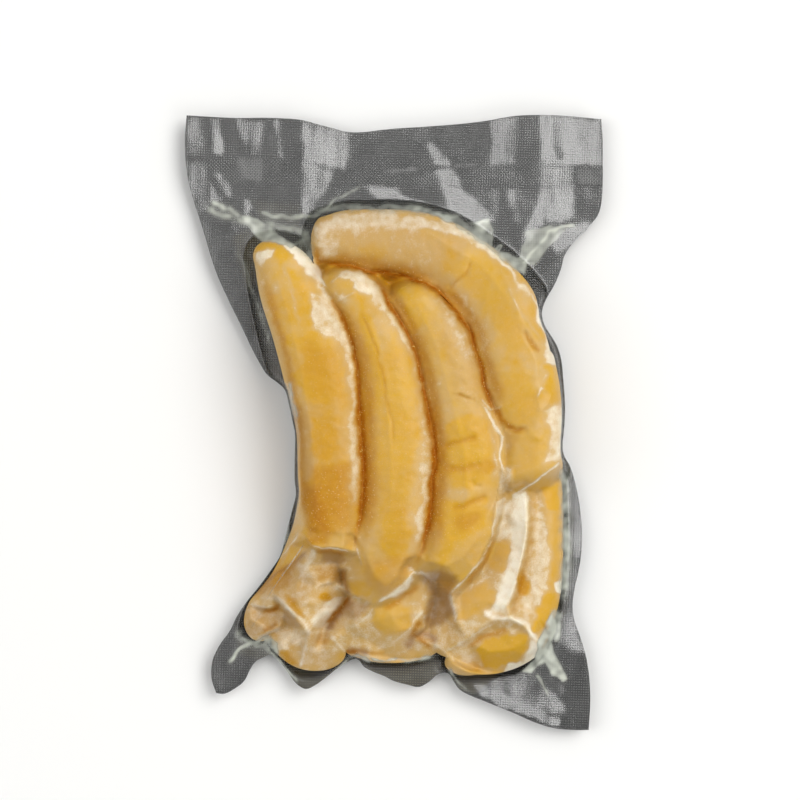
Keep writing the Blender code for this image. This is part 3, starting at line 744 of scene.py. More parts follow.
# Folds of the drawn-down film, as heights in millimetres: crests, then creases and hollows
RELIEF = (
    *(line(-1.7, 2.6, *groove) for groove in GROOVES),
    ridge(0.55, 5, (272, 262), (290, 320), (303, 380), (312, 440), (316, 500), (322, 535)),
    ridge(0.6, 4.5, (361, 306), (372, 335), (382, 370), (388, 400), (391, 450), (391, 520)),
    ridge(0.5, 5, (414, 296), (436, 345), (452, 400), (464, 450), (468, 500), (456, 545)),
    ridge(0.55, 5, (326, 226), (380, 222), (430, 234), (480, 264), (515, 308), (536, 360), (540, 410),
          (530, 455)),
    ridge(0.6, 2, (312, 546), (320, 548.5), (332, 547.5), (343, 549), (352, 552)),
    ridge(0.7, 2, (354.5, 540), (358, 553), (364, 567)),
    ridge(0.6, 2, (335.5, 584.5), (347, 591), (358, 596.5), (372, 603), (374, 607), (363.5, 614.5),
          (354.5, 623)),
    ridge(0.8, 2.6, (372, 603), (382, 600.5), (394, 594), (403, 587), (410, 578), (416, 571)),
    ridge(0.7, 2, (273, 594), (283, 603), (297, 621), (308, 634)),
    ridge(0.8, 1.8, (308, 636), (304, 652), (300, 668)),
    ridge(0.6, 2, (249, 603.5), (262, 606.5), (270, 609)),
    ridge(0.6, 2, (281, 626), (270, 631), (258, 638)),
    ridge(0.5, 1.6, (332, 581.5), (318, 586), (311, 594), (307, 602)),
    ridge(0.6, 1.8, (333, 638.5), (345, 654)),
    ridge(0.6, 2, (386, 652), (400, 641), (412, 628), (423, 612), (424, 626)),
    ridge(0.8, 2, (498, 506), (493, 532), (485, 549), (475, 569), (460, 583), (450, 593), (453.5, 607),
          (458, 624)),
    ridge(1.3, 3, (562, 462), (548, 472), (534, 483), (519, 490), (508, 496)),
    ridge(0.9, 2.6, (508, 496), (498, 504), (494, 522)),
    patch(1.3, 3, (501, 468), (512, 470), (513, 488), (502, 492)),
    ridge(0.9, 2.4, (527, 497), (527, 528), (522, 556), (517, 578), (508, 606)),
    ridge(0.8, 2.2, (444, 652), (466, 638.5), (491.5, 620), (510.5, 618), (522, 624), (533, 636)),
    ridge(0.6, 1.8, (482, 610), (491.5, 620)),
    ridge(0.6, 1.8, (444, 652), (460, 664), (474, 669)),
    ridge(0.8, 2, (480, 385), (490, 408), (492, 409), (503, 406)),
    ridge(0.9, 2.2, (453, 391), (464, 395), (478, 400), (491, 409)),
    ridge(0.8, 2, (480, 400), (488, 412), (495, 426), (502, 437), (500, 455), (503, 475)),
    ridge(0.7, 2, (507.6, 286), (514, 298), (520, 312), (524, 322), (532, 336)),
    ridge(0.8, 2.2, (537, 398), (541, 388), (552, 392), (548, 404), (540, 412)),
    ridge(0.6, 2, (528, 428), (533, 436), (542, 440)),
    ridge(0.8, 1.8, *SECOND_STEM_FOLD),
    ridge(0.6, 1.6, *SECOND_SIDE_FOLD),
    line(-0.4, 1.4, *SECOND_SPLIT),
    ridge(0.8, 2, (320, 283), (328, 288), (335, 294), (330, 302)),
    line(-0.55, 3.6, *THIRD_NICK),
    line(-0.45, 3.6, *THIRD_DENT),
    line(-0.5, 2.4, (471, 480), (475, 486), (482, 486)),
    line(-0.5, 3.8, *THIRD_HOLLOW),
    line(-0.6, 1.8, *ARCH_SPLIT),
    line(-0.7, 2.4, *ARCH_NICK),
    line(-0.9, 2.6, (505, 428), (516, 430), (528, 430)),
    line(-0.8, 2, *THIRD_BEND),
)
# Flat facets of the loose film that lean towards the key light
BRIGHT_FACETS = (
    patch(0.42, 4, (187, 116), (205, 117), (205, 154), (186, 156)),
    patch(0.7, 2.4, (210, 117), (220, 118), (222.5, 154), (213, 154)),
    patch(0.58, 3, (235, 119), (264, 122), (261, 157), (251, 157), (243, 142)),
    patch(0.55, 2.4, (273, 119), (280, 119), (282, 158), (279, 158), (276, 142)),
    patch(0.58, 3.6, (301.5, 119), (352, 131), (345.6, 169.5), (303.5, 161), (304, 138)),
    patch(0.9, 4, (304, 130), (318, 134), (322, 162), (305, 158)),
    patch(0.85, 3, (329, 140), (338, 142), (336, 167), (329, 166)),
    patch(0.8, 1.6, (428, 144), (432, 143), (455, 167.5), (435, 167)),
    patch(0.58, 4, (491, 120), (517, 116), (517, 163), (492, 164)),
    patch(0.52, 4, (541, 115), (602, 119), (602, 164), (543, 164)),
    patch(0.9, 3.4, (541, 117), (551, 117), (550, 160), (542, 158)),
    patch(0.8, 3.4, (566, 150), (582, 150), (582, 164), (566, 164)),
    patch(0, 2, (556, 148), (561, 148), (565, 156), (562, 161), (557, 159)),
    patch(0.5, 4, (184, 160), (206, 163), (208, 190), (209, 210), (200, 216), (190, 206), (185, 185)),
    patch(0.58, 3, (301.4, 161), (334, 171), (329, 186), (318, 202), (314, 215), (302, 215), (301, 189)),
    patch(0.62, 2, (212, 167), (222, 174), (234, 190), (233, 198), (226, 196), (218, 184)),
    patch(0.8, 1, (210, 178), (216, 190), (224, 200), (218, 203), (210, 201)),
    patch(0.6, 2, (232, 199), (248, 198), (253, 208), (248, 216), (242, 214), (240, 204)),
    patch(0.45, 1.2, (234, 221), (250, 216), (258, 228), (262, 238), (252, 234)),
    patch(0.5, 1.2, (230, 226), (236, 220), (244, 226), (246, 236), (236, 236)),
    patch(0.6, 2.4, (362, 185), (399, 189), (393, 209), (388, 208), (376, 198)),
    patch(0.9, 1.4, (398, 194), (412, 200), (444, 210), (438, 219), (404, 213)),
    patch(0.66, 3, (440, 183), (459, 186), (478, 202), (495, 220), (486, 223), (464, 226), (451, 222),
          (447, 201)),
    patch(0.5, 1.2, (432, 168), (452, 168), (462, 184), (442, 184)),
    patch(0.2, 1.4, (490, 190), (499, 190), (498, 215), (494, 216)),
    patch(0.45, 1.4, (506, 190), (514, 190), (520, 222), (513, 222)),
    patch(0.66, 3, (541, 190), (574, 183), (574, 201), (573, 216), (562, 222), (551, 221), (537, 228),
          (523, 250), (521, 240), (528, 223), (538, 204)),
    patch(0.45, 3, (541, 166), (574, 168), (574, 186), (541, 188)),
    patch(0.6, 3, (550, 243), (560, 232), (584, 222), (597, 224), (588, 236), (572, 244), (556, 252)),
    patch(0.6, 4, (556, 456), (570, 456), (580, 476), (586, 520), (583, 552), (572, 566), (560, 556)),
    patch(0.3, 3, (560, 560), (580, 560), (576, 610), (560, 612)),
    patch(0.56, 4, (548, 614), (572, 610), (584, 632), (587, 652), (572, 650), (556, 640)),
    patch(0.5, 4, (480, 685), (508, 672), (524, 668), (542, 672), (556, 690), (568, 712), (540, 715),
          (500, 698)),
    patch(1, 0.9, (474, 684), (484, 686), (548, 714), (545, 721), (500, 706), (478, 694)),
    patch(0.95, 0.9, (541, 714), (560, 719), (560, 727), (540, 722)),
)
# Facets that lean towards the fill light, or part of the way to the key
MIDDLE_FACETS = (
    patch(0.5, 2, (236, 158), (262, 158), (262, 180), (240, 180)),
    patch(0.3, 3, (440, 120), (490, 120), (490, 150), (456, 150)),
    patch(0.9, 1, (380, 170), (480, 163.5), (480, 166), (381, 173.5)),
    patch(0.8, 1.4, (575, 168), (602, 168), (602, 186), (576, 184)),
    patch(0.1, 2, (188, 218), (206, 222), (226, 290), (222, 300), (204, 262)),
    patch(0.15, 2, (214, 640), (230, 652), (244, 664), (236, 688), (216, 690)),
    patch(0.15, 2, (566, 690), (588, 680), (588, 728), (566, 724)),
    patch(0.45, 1.4, (536, 676), (548, 690), (560, 700), (566, 690), (552, 672)),
)
# Pale green-white juice that has run and frozen between the films
JUICE = (
    line(0.75, 1.9, (210, 201), (219, 206), (230, 209), (242, 216)),
    line(0.55, 3.2, (206, 205), (214, 212), (228, 216), (240, 220), (250, 226), (262, 236)),
    patch(0.62, 1.6, (242, 215), (256, 219), (272, 228), (284, 238), (296, 245), (290, 248), (276, 242),
          (262, 243), (252, 232)),
    line(0.6, 1.8, (258, 211), (270, 215), (290, 217), (308, 217), (322, 215)),
    line(0.35, 4, (262, 222), (282, 226), (300, 230), (310, 240)),
    line(0.45, 3, (312, 213), (330, 209), (360, 208), (395, 208), (430, 213)),
    line(0.4, 1.4, (321, 212), (336, 199), (362, 187)),
    patch(0.55, 1.5, (440, 216), (452, 222), (482, 223), (489, 220), (494, 230), (493, 246), (506, 253),
          (521, 257), (527, 262), (524, 274), (514, 270), (502, 259), (486, 246), (470, 236), (455, 226)),
    patch(0.65, 1.2, (260, 638), (270, 634), (278, 644), (277, 654), (268, 646)),
    line(0.75, 1.2, (438, 212), (452, 221), (480, 224), (488, 220)),
    patch(0.45, 1.5, (526, 232), (550, 224), (566, 230), (548, 246), (538, 262), (528, 262), (520, 256)),
    line(0.85, 1.5, (523, 264), (536, 250), (549, 231), (560, 226), (576, 227)),
    line(0.7, 1.3, (516, 264), (526, 261), (536, 264)),
    line(0.8, 1, (499.4, 244), (501.6, 247), (499.4, 250), (497.4, 247), (499.4, 244)),
    line(0.5, 2.2, (289, 381), (292, 396), (296, 420)),
    line(0.22, 2, (236, 248), (244, 268), (256, 300), (272, 350)),
    line(0.35, 1.4, (289, 524), (284, 546), (262, 578), (250, 594)),
    patch(0.35, 2, (294, 242), (308, 238), (313, 250), (312, 262), (304, 254)),
    line(0.8, 1.5, (228, 663), (240, 650), (262, 638)),
    line(0.4, 2.4, (235, 628), (240, 638), (262, 646), (280, 664)),
    line(0.65, 1.2, (262, 642), (274, 656), (288, 671), (298, 684)),
    line(0.5, 1.6, (333, 676), (345, 660), (358, 655), (372, 662)),
    line(0.62, 1.5, (361, 653), (378, 660), (400, 661), (420, 659), (437, 655)),
    line(0.55, 1.2, (448, 666), (456, 680), (468, 692)),
    patch(0.85, 1.4, (538, 645), (545, 622), (553, 614), (556, 622), (552, 640), (558, 664), (566, 672),
          (568, 678), (562, 681), (552, 672), (545, 662), (530, 672), (520, 672), (534, 660)),
    line(0.5, 1.2, (535, 672), (543, 684), (548, 696)),
    line(0.6, 4.5, (563, 462), (566, 500), (566, 560), (563, 602)),
    line(0.7, 3, (551, 611), (559, 617), (557, 640)),
    line(0.75, 2.6, (400, 206), (430, 211), (462, 221)),
)
# White ice along the sharp folds, up to 1 where it is thickest, together with painted highlights along the
# lit crests
WHITE_ICE_AND_HIGHLIGHTS = (
    line(0.95, 1.1, (310, 545), (322, 549), (336, 548), (351, 552)),
    line(0.8, 1, (354.5, 540), (358, 553), (363, 567)),
    line(0.95, 2.6, (376, 603), (394, 594), (408, 582), (414, 572)),
    line(0.8, 1, (374, 607), (366, 617), (355.5, 626)),
    line(0.9, 1.1, (306, 640), (303, 655), (300, 668)),
    line(0.6, 2.5, (300, 580), (296, 592), (294, 604)),
    line(0.9, 1.2, (448, 592), (452, 608), (456, 624)),
    line(0.9, 1.4, (495, 515), (492, 540), (481, 560), (472, 572), (449, 594)),
    line(0.95, 1.6, (562, 462), (548, 472), (534, 483), (511, 496)),
    line(0.8, 2.2, (508, 496), (498, 504), (494, 522)),
    patch(0.84, 4.5, (498, 508), (512, 497), (520, 500), (516, 530), (508, 538), (496, 538), (494, 520)),
    line(1, 3.2, (525, 494), (526, 526), (522.5, 546), (516, 571), (508, 598), (499, 611)),
    patch(0.97, 3.2, (514, 494), (525.5, 491), (528, 499), (527.5, 525), (525, 544), (518, 570), (511, 598),
          (504, 611), (492, 611), (496, 598), (505, 570), (511.5, 542), (512, 516)),
    patch(0.95, 1.5, (554, 582), (565, 579), (565.4, 595), (556, 594)),
    patch(0.95, 2, (532, 641), (543, 647), (538, 663), (533.5, 670), (501.6, 673), (508, 663),
          (524, 661.8)),
    line(0.8, 1.2, *SECOND_STEM_FOLD),
    line(0.8, 1, *SECOND_SIDE_FOLD),
    line(0.92, 2.4, (273, 594), (284, 604.5), (300.5, 618), (308, 628), (309.5, 637)),
    line(0.92, 3.4, (390, 597), (402.8, 589), (414, 576.5)),
    line(0.8, 1, (430, 606), (418.7, 614), (410.7, 628), (390, 646)),
    line(0.8, 0.9, (424.3, 614), (423.5, 630)),
    line(0.8, 1.2, (414, 638), (434.6, 644.5), (445.8, 652)),
    line(0.85, 1.4, (331, 636), (345, 653.6)),
    line(0.85, 1.2, (248.4, 604), (265.8, 608), (271, 607.5)),
    line(0.85, 1.4, (256, 638.5), (281, 627)),
    line(0.8, 1.4, (300, 532), (294, 541), (279, 560)),
    line(0.8, 1, (353, 349), (359, 352)), line(0.8, 0.9, (357, 366), (359.5, 374)),
    line(0.8, 0.9, (410.8, 337), (419, 333)), line(0.7, 0.9, (413, 344), (417, 351)),
    line(0.95, 2.6, (481, 609), (492, 617), (511, 617.5), (525.5, 624), (533.5, 636), (541.5, 647)),
    line(0.8, 1, (445, 653), (463, 642), (480, 631), (496, 622)),
    line(0.7, 1.2, (445, 655), (460, 664), (474, 669)),
    line(0.9, 1, (480, 398), (491, 409), (503, 406)),
    line(0.9, 1.8, (480, 401), (488, 412), (495, 426), (502, 437), (500, 455), (503, 474)),
    line(0.75, 1.4, (507.6, 286), (514, 298), (520, 312), (529, 322), (540, 338)),
    line(0.9, 1.2, (537, 398), (541, 388), (545, 388)),
    line(0.8, 1.2, (282.6, 264), (292, 290), (296, 310), (300, 328)),
)
# Frost between the film and the flesh, from 0 where the flesh shows clear to 1, with painted highlights as
# cream patches on the lit facets and bands along the lit sides of the bananas
FROST_AND_HIGHLIGHTS = (
    patch(0.7, 8, (300, 548), (330, 556), (352, 560), (372, 606), (400, 600), (425, 572), (445, 590),
          (470, 580), (500, 520), (515, 495), (545, 490), (548, 560), (545, 640), (525, 668), (470, 668),
          (430, 655), (380, 655), (340, 655), (320, 672), (290, 668), (240, 640), (240, 610), (275, 570)),
    patch(0.8, 5, (312, 222), (340, 212), (385, 210), (420, 213), (445, 220), (470, 232), (440, 236),
          (400, 232), (360, 240), (330, 262), (316, 262), (312, 240)),
    patch(0.62, 8, (330, 232), (400, 228), (440, 240), (440, 284), (400, 272), (340, 262)),
    patch(0.3, 4, (360, 246), (372, 243), (386, 248), (388, 256), (376, 262), (362, 258)),
    patch(0.88, 4, (440, 218), (470, 231), (498, 252), (520, 276), (533, 295), (528, 296), (505, 268),
          (478, 246), (450, 230)),
    patch(0.92, 3, (533, 295), (548, 310), (560, 345), (562, 375), (545, 372), (544, 340), (536, 318)),
    patch(0.12, 2.5, (545, 365), (560, 363), (563, 380), (561, 400), (552, 402), (545, 390), (548, 376)),
    patch(0.25, 5, (470, 250), (500, 280), (520, 320), (528, 350), (510, 355), (498, 330), (480, 300),
          (462, 272)),
    patch(0.22, 6, (500, 370), (530, 370), (540, 400), (530, 425), (505, 425), (497, 395)),
    patch(0.7, 7, (445, 276), (472, 296), (488, 340), (496, 380), (480, 350), (462, 305)),
    patch(0.3, 4, (515, 430), (545, 430), (555, 445), (535, 470), (510, 480), (508, 455)),
    patch(0.85, 4, (540, 410), (560, 400), (562, 440), (556, 462), (546, 460), (550, 430)),
    patch(0.62, 4, (248, 262), (262, 275), (276, 320), (290, 360), (306, 400), (318, 460), (322, 490),
          (303, 480), (296, 430), (286, 383), (270, 335), (254, 290)),
    patch(0.12, 2.2, (287, 267), (294, 270), (298, 280), (305, 283), (309, 291), (310, 302), (312, 310),
          (311, 318), (308, 316), (304, 305), (298, 294), (293, 283)),
    patch(0.1, 3, (300, 340), (308, 333), (320, 336), (330, 341), (342, 354), (347, 362), (347, 376),
          (344, 390), (338, 398), (328, 404), (316, 402), (306, 394), (298, 384), (294, 376), (300, 362)),
    patch(0.12, 3, (311, 418), (332, 422), (337, 433), (336, 448), (330, 455), (322, 460), (315, 455),
          (312, 440)),
    patch(0.16, 6, (320, 462), (345, 455), (354, 480), (350, 520), (330, 535), (312, 528), (306, 500),
          (308, 482)),
    patch(0.8, 3, (310, 291), (329, 296), (341, 312), (347, 332), (342, 344), (326, 337), (314, 332),
          (311, 318)),
    line(0.8, 5.5, (304, 262), (322, 288), (338, 318), (347, 345), (352, 380), (353, 430), (355, 470),
         (351, 520)),
    line(0.82, 5.5, (372, 284), (390, 308), (404, 334), (413, 362), (419, 395), (423, 430), (428, 462),
         (424, 500), (418, 530), (411, 556)),
    line(0.8, 6, (436, 300), (452, 318), (466, 345), (474, 370), (480, 395)),
    line(0.72, 5, (488, 425), (493, 450), (496, 480)),
    patch(0.97, 2.6, (279, 240), (294, 243), (310, 254), (322, 272), (328, 286), (319, 281), (306, 268),
          (294, 259), (286, 248)),
    patch(0.12, 2.5, (252, 246), (268, 240), (286, 246), (290, 256), (282, 264), (270, 254), (256, 260)),
    patch(0.85, 2, (256, 252), (266, 247), (274, 249), (272, 258), (264, 264), (256, 262)),
    patch(0.85, 4, (336, 275), (346, 268), (362, 270), (378, 288), (396, 312), (400, 322), (384, 310),
          (366, 296), (350, 288)),
    patch(0.12, 3, (356, 292), (364, 300), (370, 320), (380, 350), (390, 390), (398, 430), (400, 460),
          (384, 440), (374, 400), (368, 360), (358, 320)),
    patch(0.18, 6, (388, 330), (408, 350), (420, 390), (420, 430), (410, 500), (380, 520), (372, 470),
          (380, 420), (384, 370)),
    patch(0.7, 3.5, (404, 318), (418, 345), (428, 380), (434, 430), (431, 470), (424, 466), (424, 420),
          (416, 370)),
    patch(0.12, 4, (380, 520), (404, 500), (412, 530), (408, 556), (394, 566), (382, 550)),
    patch(0.1, 3, (402, 290), (412, 296), (421, 310), (425, 322), (416, 328), (406, 320), (402, 304)),
    patch(0.7, 4, (430, 292), (452, 312), (470, 345), (484, 376), (496, 404), (486, 404), (466, 372),
          (448, 330)),
    patch(0.45, 5, (448, 352), (470, 360), (486, 395), (470, 415), (450, 410), (440, 385)),
    patch(0.1, 4, (446, 424), (470, 414), (486, 420), (492, 450), (488, 478), (470, 492), (452, 486),
          (446, 460)),
    patch(0.08, 5, (444, 500), (470, 498), (486, 500), (488, 520), (478, 550), (456, 566), (440, 556),
          (438, 525)),
    patch(0.66, 5, (494, 502), (516, 498), (522, 512), (514, 540), (498, 552), (494, 530)),
    spot(0.36, 1.4, (498.4, 557), (13.4, 15.5)),
    patch(0.34, 2.2, (484, 580.4), (488.9, 590), (498, 593), (495, 602.8), (485.7, 612), (469.7, 617),
          (457, 622), (460, 606), (466.5, 591.6)),
    patch(0.38, 5, (452, 545), (488, 525), (480, 556), (458, 580), (446, 575)),
    patch(0.8, 5, (531, 505), (545, 520), (552, 545), (550, 575), (540, 605), (526, 618), (524, 600),
          (532, 560)),
    patch(0.06, 2.2, (539.9, 488), (557, 482), (560, 500), (556, 510), (546, 506)),
    patch(0.3, 3, (551, 512), (562, 508), (564.5, 540), (563, 578), (556, 583), (552, 556)),
    patch(0.75, 3, (500, 466), (514, 468), (513, 490), (500, 492)),
    spot(0.15, 2, *RIGHT_BRUISE),
    patch(0.06, 2.2, (548, 590), (557.4, 596), (552, 618), (540, 634), (531, 633), (538, 612)),
    patch(0.05, 2, (476, 650), (486, 641), (505, 634), (530, 637), (527, 652), (518, 661), (508, 663),
          (495, 669), (480, 667)),
    patch(0.82, 3.5, (311, 550), (316, 553), (307, 574), (300, 588), (293, 584), (302, 565)),
    patch(0.88, 2.5, (315.7, 614.6), (327.6, 600.5), (341, 597.5), (338.5, 606), (327.6, 618), (323, 627),
          (315.7, 627), (312.4, 620)),
    patch(0.12, 2, *LEFT_DENT),
    patch(0.82, 3.5, (281, 629.8), (304.8, 631), (299.4, 638.5), (282, 650.4), (272.3, 647)),
    patch(0.18, 3, (279, 652), (286, 650), (296, 664), (290, 665)),
    line(0.1, 2.2, (244, 611), (241.5, 625), (244, 638)),
    patch(0.22, 3, (262, 577), (288, 550), (298, 528), (306, 536), (300, 556), (282, 577), (262, 592)),
    spot(0.08, 1.6, (382, 620), (10.0, 11.0)),
    spot(0.25, 1.6, (357, 588.6), (13.5, 8.5), 12.0),
    patch(0.12, 3, (393, 608), (412, 608), (411, 628), (394, 632)),
    line(0.86, 3, (406.6, 568), (422, 573), (431.5, 578), (442.6, 575)),
    patch(0.35, 2, (334, 290), (338, 282), (346, 279), (354, 284), (352, 292), (342, 296)),
    line(0.9, 3.4, (540, 300), (551, 322), (560, 350), (563, 380)),
    line(0.9, 3, (562, 400), (562, 440), (558, 462)),
    spot(0.06, 1.4, (326, 597.8), (5.5, 4.2)),
    patch(0.3, 4, (375, 608), (394, 600), (410, 612), (404, 632), (384, 636), (374, 624)),
    patch(0.6, 5, (394, 588), (420, 578), (428, 592), (412, 604), (396, 600)),
)
# Brown-orange in the grooves and down the shaded side of each banana: frozen juice colour together with
# painted shade in the grooves, creases and on the sides away from the light
AMBER_AND_SHADE = (
    *(line(1, 2.6, *groove) for groove in GROOVES),
    line(0.85, 4.4, (360, 395), (362, 430), (365, 470), (363, 516)),
    line(0.85, 4.6, (427, 400), (433, 432), (436, 462), (434, 490), (431, 520), (425, 545)),
    patch(0.34, 6, (312, 468), (350, 462), (355, 490), (351, 528), (330, 538), (312, 530)),
    *(line(0.3, 6, *groove) for groove in GROOVES),
    line(0.5, 6.5, (338, 300), (352, 324), (364, 360), (369, 400), (370, 440), (372, 480), (369, 520),
         (364, 540)),
    line(0.5, 6, (384, 282), (398, 304), (414, 330), (428, 366), (435, 400), (441, 440), (445, 466),
         (440, 500), (438, 530), (430, 556)),
    line(0.45, 6, (330, 257), (345, 259), (366, 262), (388, 266), (412, 272), (434, 281)),
    line(0.45, 6, (446, 288), (462, 306), (478, 326), (486, 350), (494, 378), (502, 404)),
    line(0.45, 4, (262, 268), (270, 300), (282, 340), (292, 380), (300, 420), (302, 470), (306, 520)),
    line(0.5, 5, (318, 246), (316, 258), (322, 263)),
    line(0.7, 3, (496, 404), (502, 420), (516, 430), (526, 430)),
    patch(0.45, 5, (303, 480), (318, 490), (330, 530), (326, 545), (310, 545), (305, 520)),
    line(0.32, 3.2, *THIRD_NICK),
    line(0.3, 3, *THIRD_DENT),
    line(0.32, 3.2, *THIRD_HOLLOW),
    spot(0.28, 5, (468, 520), (14.0, 8.0), -20.0),
    spot(0.25, 4, (486, 466), (8.0, 8.0)),
    line(0.55, 1.6, *ARCH_NICK),
    line(0.4, 1.3, *ARCH_SPLIT),
    line(0.4, 1.3, *THIRD_BEND),
    line(0.28, 1.4, *SECOND_SPLIT),
    patch(0.4, 4, (529, 500), (535, 505), (534, 540), (528, 575), (515, 612), (508, 618), (513, 600),
          (521, 570), (527, 535)),
    spot(0.35, 2, *RIGHT_BRUISE),
    line(0.55, 3, (466.5, 648), (485, 636.5), (508, 630)),
    patch(0.2, 4, (505, 430), (518, 436), (512, 455), (505, 462)),
    spot(0.35, 1.6, (326, 597.8), (5.0, 4.0)),
    patch(0.4, 3, (314.6, 568), (338, 566), (338, 581), (318, 581)),
    patch(0.42, 3, *LEFT_DENT),
    patch(0.6, 2.4, (261.5, 613.5), (268, 609.5), (278.8, 604), (282, 610), (271, 612.4)),
    line(0.5, 2.4, *LEFT_SLIT),
    patch(0.3, 3, (279, 652), (290, 650), (296, 664), (288, 665)),
    patch(0.4, 3, (315.7, 634), (325.4, 634), (325.4, 643), (316, 643)),
    line(0.85, 2.2, *LOW_GAP), line(0.4, 2, (360, 653), (386, 653.5)),
    line(0.75, 2.2, (421.9, 618.7), (413.9, 635), (433, 648.5)),
    line(0.55, 3, (384, 610), (398, 602), (411, 592), (420, 582)),
    line(0.6, 2, (314, 552), (330, 551), (344, 553)),
    line(0.95, 2.4, *LEFT_HOLLOW),
    line(0.6, 3, (341, 572), (342, 582)),
    line(0.6, 2.5, (264, 611), (272, 610), (281, 605)),
    patch(0.35, 4, (262, 575), (296, 562), (290, 585), (270, 592), (256, 598)),
    patch(0.18, 8, (302, 340), (340, 345), (350, 400), (345, 520), (312, 525), (304, 420)),
    patch(0.25, 6, (366, 560), (412, 556), (404, 584), (382, 598), (364, 584)),
    line(0.55, 2.6, (500, 512), (494, 538), (487, 554), (477, 572), (464, 586)),
)
# Painted mauve-brown shade in the deepest hollows of the film and down the darker sides, with a few broad
# patches that darken the flesh
SHADE = (
    patch(0.18, 8, (312, 215), (380, 212), (440, 220), (470, 244), (450, 284), (400, 270), (350, 262),
          (318, 256)),
    patch(0.14, 8, (440, 300), (466, 318), (486, 370), (480, 400), (456, 400), (444, 350)),
    patch(0.1, 8, (372, 470), (412, 470), (410, 550), (378, 560), (366, 520)),
    patch(0.3, 7, (262, 582), (300, 566), (318, 580), (300, 606), (262, 600)),
    patch(0.34, 6, (244, 604), (280, 608), (284, 628), (262, 638), (244, 636)),
    patch(0.16, 8, (274, 640), (330, 632), (334, 664), (296, 670)),
    line(0.35, 7, (296, 400), (303, 440), (307, 480), (308, 520)),
    line(0.75, 4, (341, 568), (345, 584), (348, 596)),
    patch(0.6, 3, (322, 551), (344, 553), (347, 561), (338, 567), (322, 561)),
    patch(0.5, 3, (286, 607), (298, 619), (304, 628), (289, 627), (283, 616)),
    patch(0.5, 3, (350, 600), (369, 605.5), (356, 621), (344, 615)),
    line(0.85, 2.4, *LEFT_HOLLOW),
    line(0.5, 2, *LEFT_SLIT),
    patch(0.64, 4, (420, 576), (442.6, 571), (457, 577), (452, 590), (450.6, 601), (453.8, 615.5),
          (442.6, 623.5), (428, 628), (423.5, 617), (431.5, 598), (428, 586)),
    line(0.75, 5, (404, 648), (414, 638), (424, 634), (438, 642)),
    line(0.9, 4.6, (352, 598), (344, 608), (333, 620), (325, 631)),
    line(0.8, 4, (345, 651), (358, 651), (368, 654)),
    line(0.55, 4, (306, 552), (296, 562), (280, 576)),
    line(0.65, 1, (308, 549), (299, 558), (278, 573), (258, 591), (248, 599)),
    line(0.55, 2.2, *LOW_GAP),
)
# Olive wet places where brown juice lies over the back film
STAIN = (
    patch(0.9, 2.5, (286, 664), (300, 671), (330, 673), (346, 656), (352, 664), (336, 684), (318, 694),
          (300, 690)),
    patch(0.9, 2.5, (352, 652), (372, 662), (400, 664), (436, 658), (446, 664), (432, 682), (410, 690),
          (380, 684)),
    patch(0.8, 2.5, (446, 662), (466, 672), (500, 676), (474, 694), (460, 690)),
    patch(0.5, 3, (236, 640), (262, 642), (286, 668), (262, 662), (240, 654)),
    patch(0.55, 4, (233, 236), (246, 230), (264, 232), (258, 262), (248, 292), (238, 262)),
    patch(0.35, 4, (250, 200), (300, 204), (300, 226), (262, 220)),
    line(0.45, 3, (286, 400), (292, 440), (294, 480), (290, 520)),
)


@dataclass(frozen=True)
class FoldedSheet:
    """Film drawn hard over lumps: straight crests and valleys, with flat facets between them."""

    folds: Sequence[Sequence[tuple[float, float, float]]]
    rim: Line
    softness: float = 2.4

    def laid_over(self, plan: Plan, survey: Survey, draped: Array) -> Array:
        """Put the creased sheet in place of part of a draped film.

        Args:
            plan: The raster.
            survey: The view in which the folds were read.
            draped: Heights of the film that it joins along its rim.

        Returns:
            Heights, linear on each facet of a Delaunay net that keeps every fold as an edge.
        """
        rim = np.array(self.rim, float)
        z = np.full(len(rim), 20.0)
        for _ in range(4):
            x, y = survey.placed(rim[:, 0], rim[:, 1], z)
            z = plan.read(draped, x, y)
        points = list(zip(x.tolist(), y.tolist(), z.tolist()))
        edges = [(k, (k + 1) % len(points)) for k in range(len(points))]
        for fold in self.folds:
            start = len(points)
            points += [(*survey.placed(across, down, high), high) for across, down, high in fold]
            edges += [(k, k + 1) for k in range(start, len(points) - 1)]
        net, _, facets, origins, _, _ = delaunay_2d_cdt([Vector(p[:2]) for p in points], edges, [], 0, 1e-3)
        high = [np.mean([points[k][2] for k in own]) if own else np.nan for own in origins]
        if np.isnan(high).any():
            crossings = np.where(np.isnan(high))[0]
            LOG.warning("folds cross at %s", [tuple(round(c, 1) for c in net[k]) for k in crossings])
        corners = np.array([(*v, h) for v, h in zip(net, high)])
        sheet = draped.copy()
        for facet in facets:
            self.fill(plan, sheet, corners[list(facet)])
        away, _ = line_distance([*zip(x, y), (x[0], y[0])], plan.x, plan.y)
        cover = np.where(inside(list(zip(x, y)), plan.x, plan.y), ease(0, self.softness, away), 0)
        return draped * (1 - cover) + sheet * cover

    def fill(self, plan: Plan, sheet: Array, corner: Array) -> None:
        """Write one facet's heights.

        Args:
            plan: The raster.
            sheet: The map to write them in.
            corner: The facet's three corners, weighted by nearness between them.
        """
        (ax, ay, az), (bx, by, bz), (cx, cy, cz) = corner
        area = (bx - ax) * (cy - ay) - (cx - ax) * (by - ay)
        if abs(area) < SLIVER or np.isnan(corner).any():
            return
        start = (plan.half_across, plan.half_along)
        low = np.floor((corner[:, :2].min(0) + start) / plan.cell).astype(int)
        high = np.ceil((corner[:, :2].max(0) + start) / plan.cell).astype(int) + 1
        block = (slice(low[1], high[1]), slice(low[0], high[0]))
        x, y = plan.x[block], plan.y[block]
        v = ((x - ax) * (cy - ay) - (cx - ax) * (y - ay)) / area
        w = ((bx - ax) * (y - ay) - (x - ax) * (by - ay)) / area
        within = (v > -SLIVER) & (w > -SLIVER) & (v + w < 1 + SLIVER)
        sheet[block] = np.where(within, az + v * (bz - az) + w * (cz - az), sheet[block])


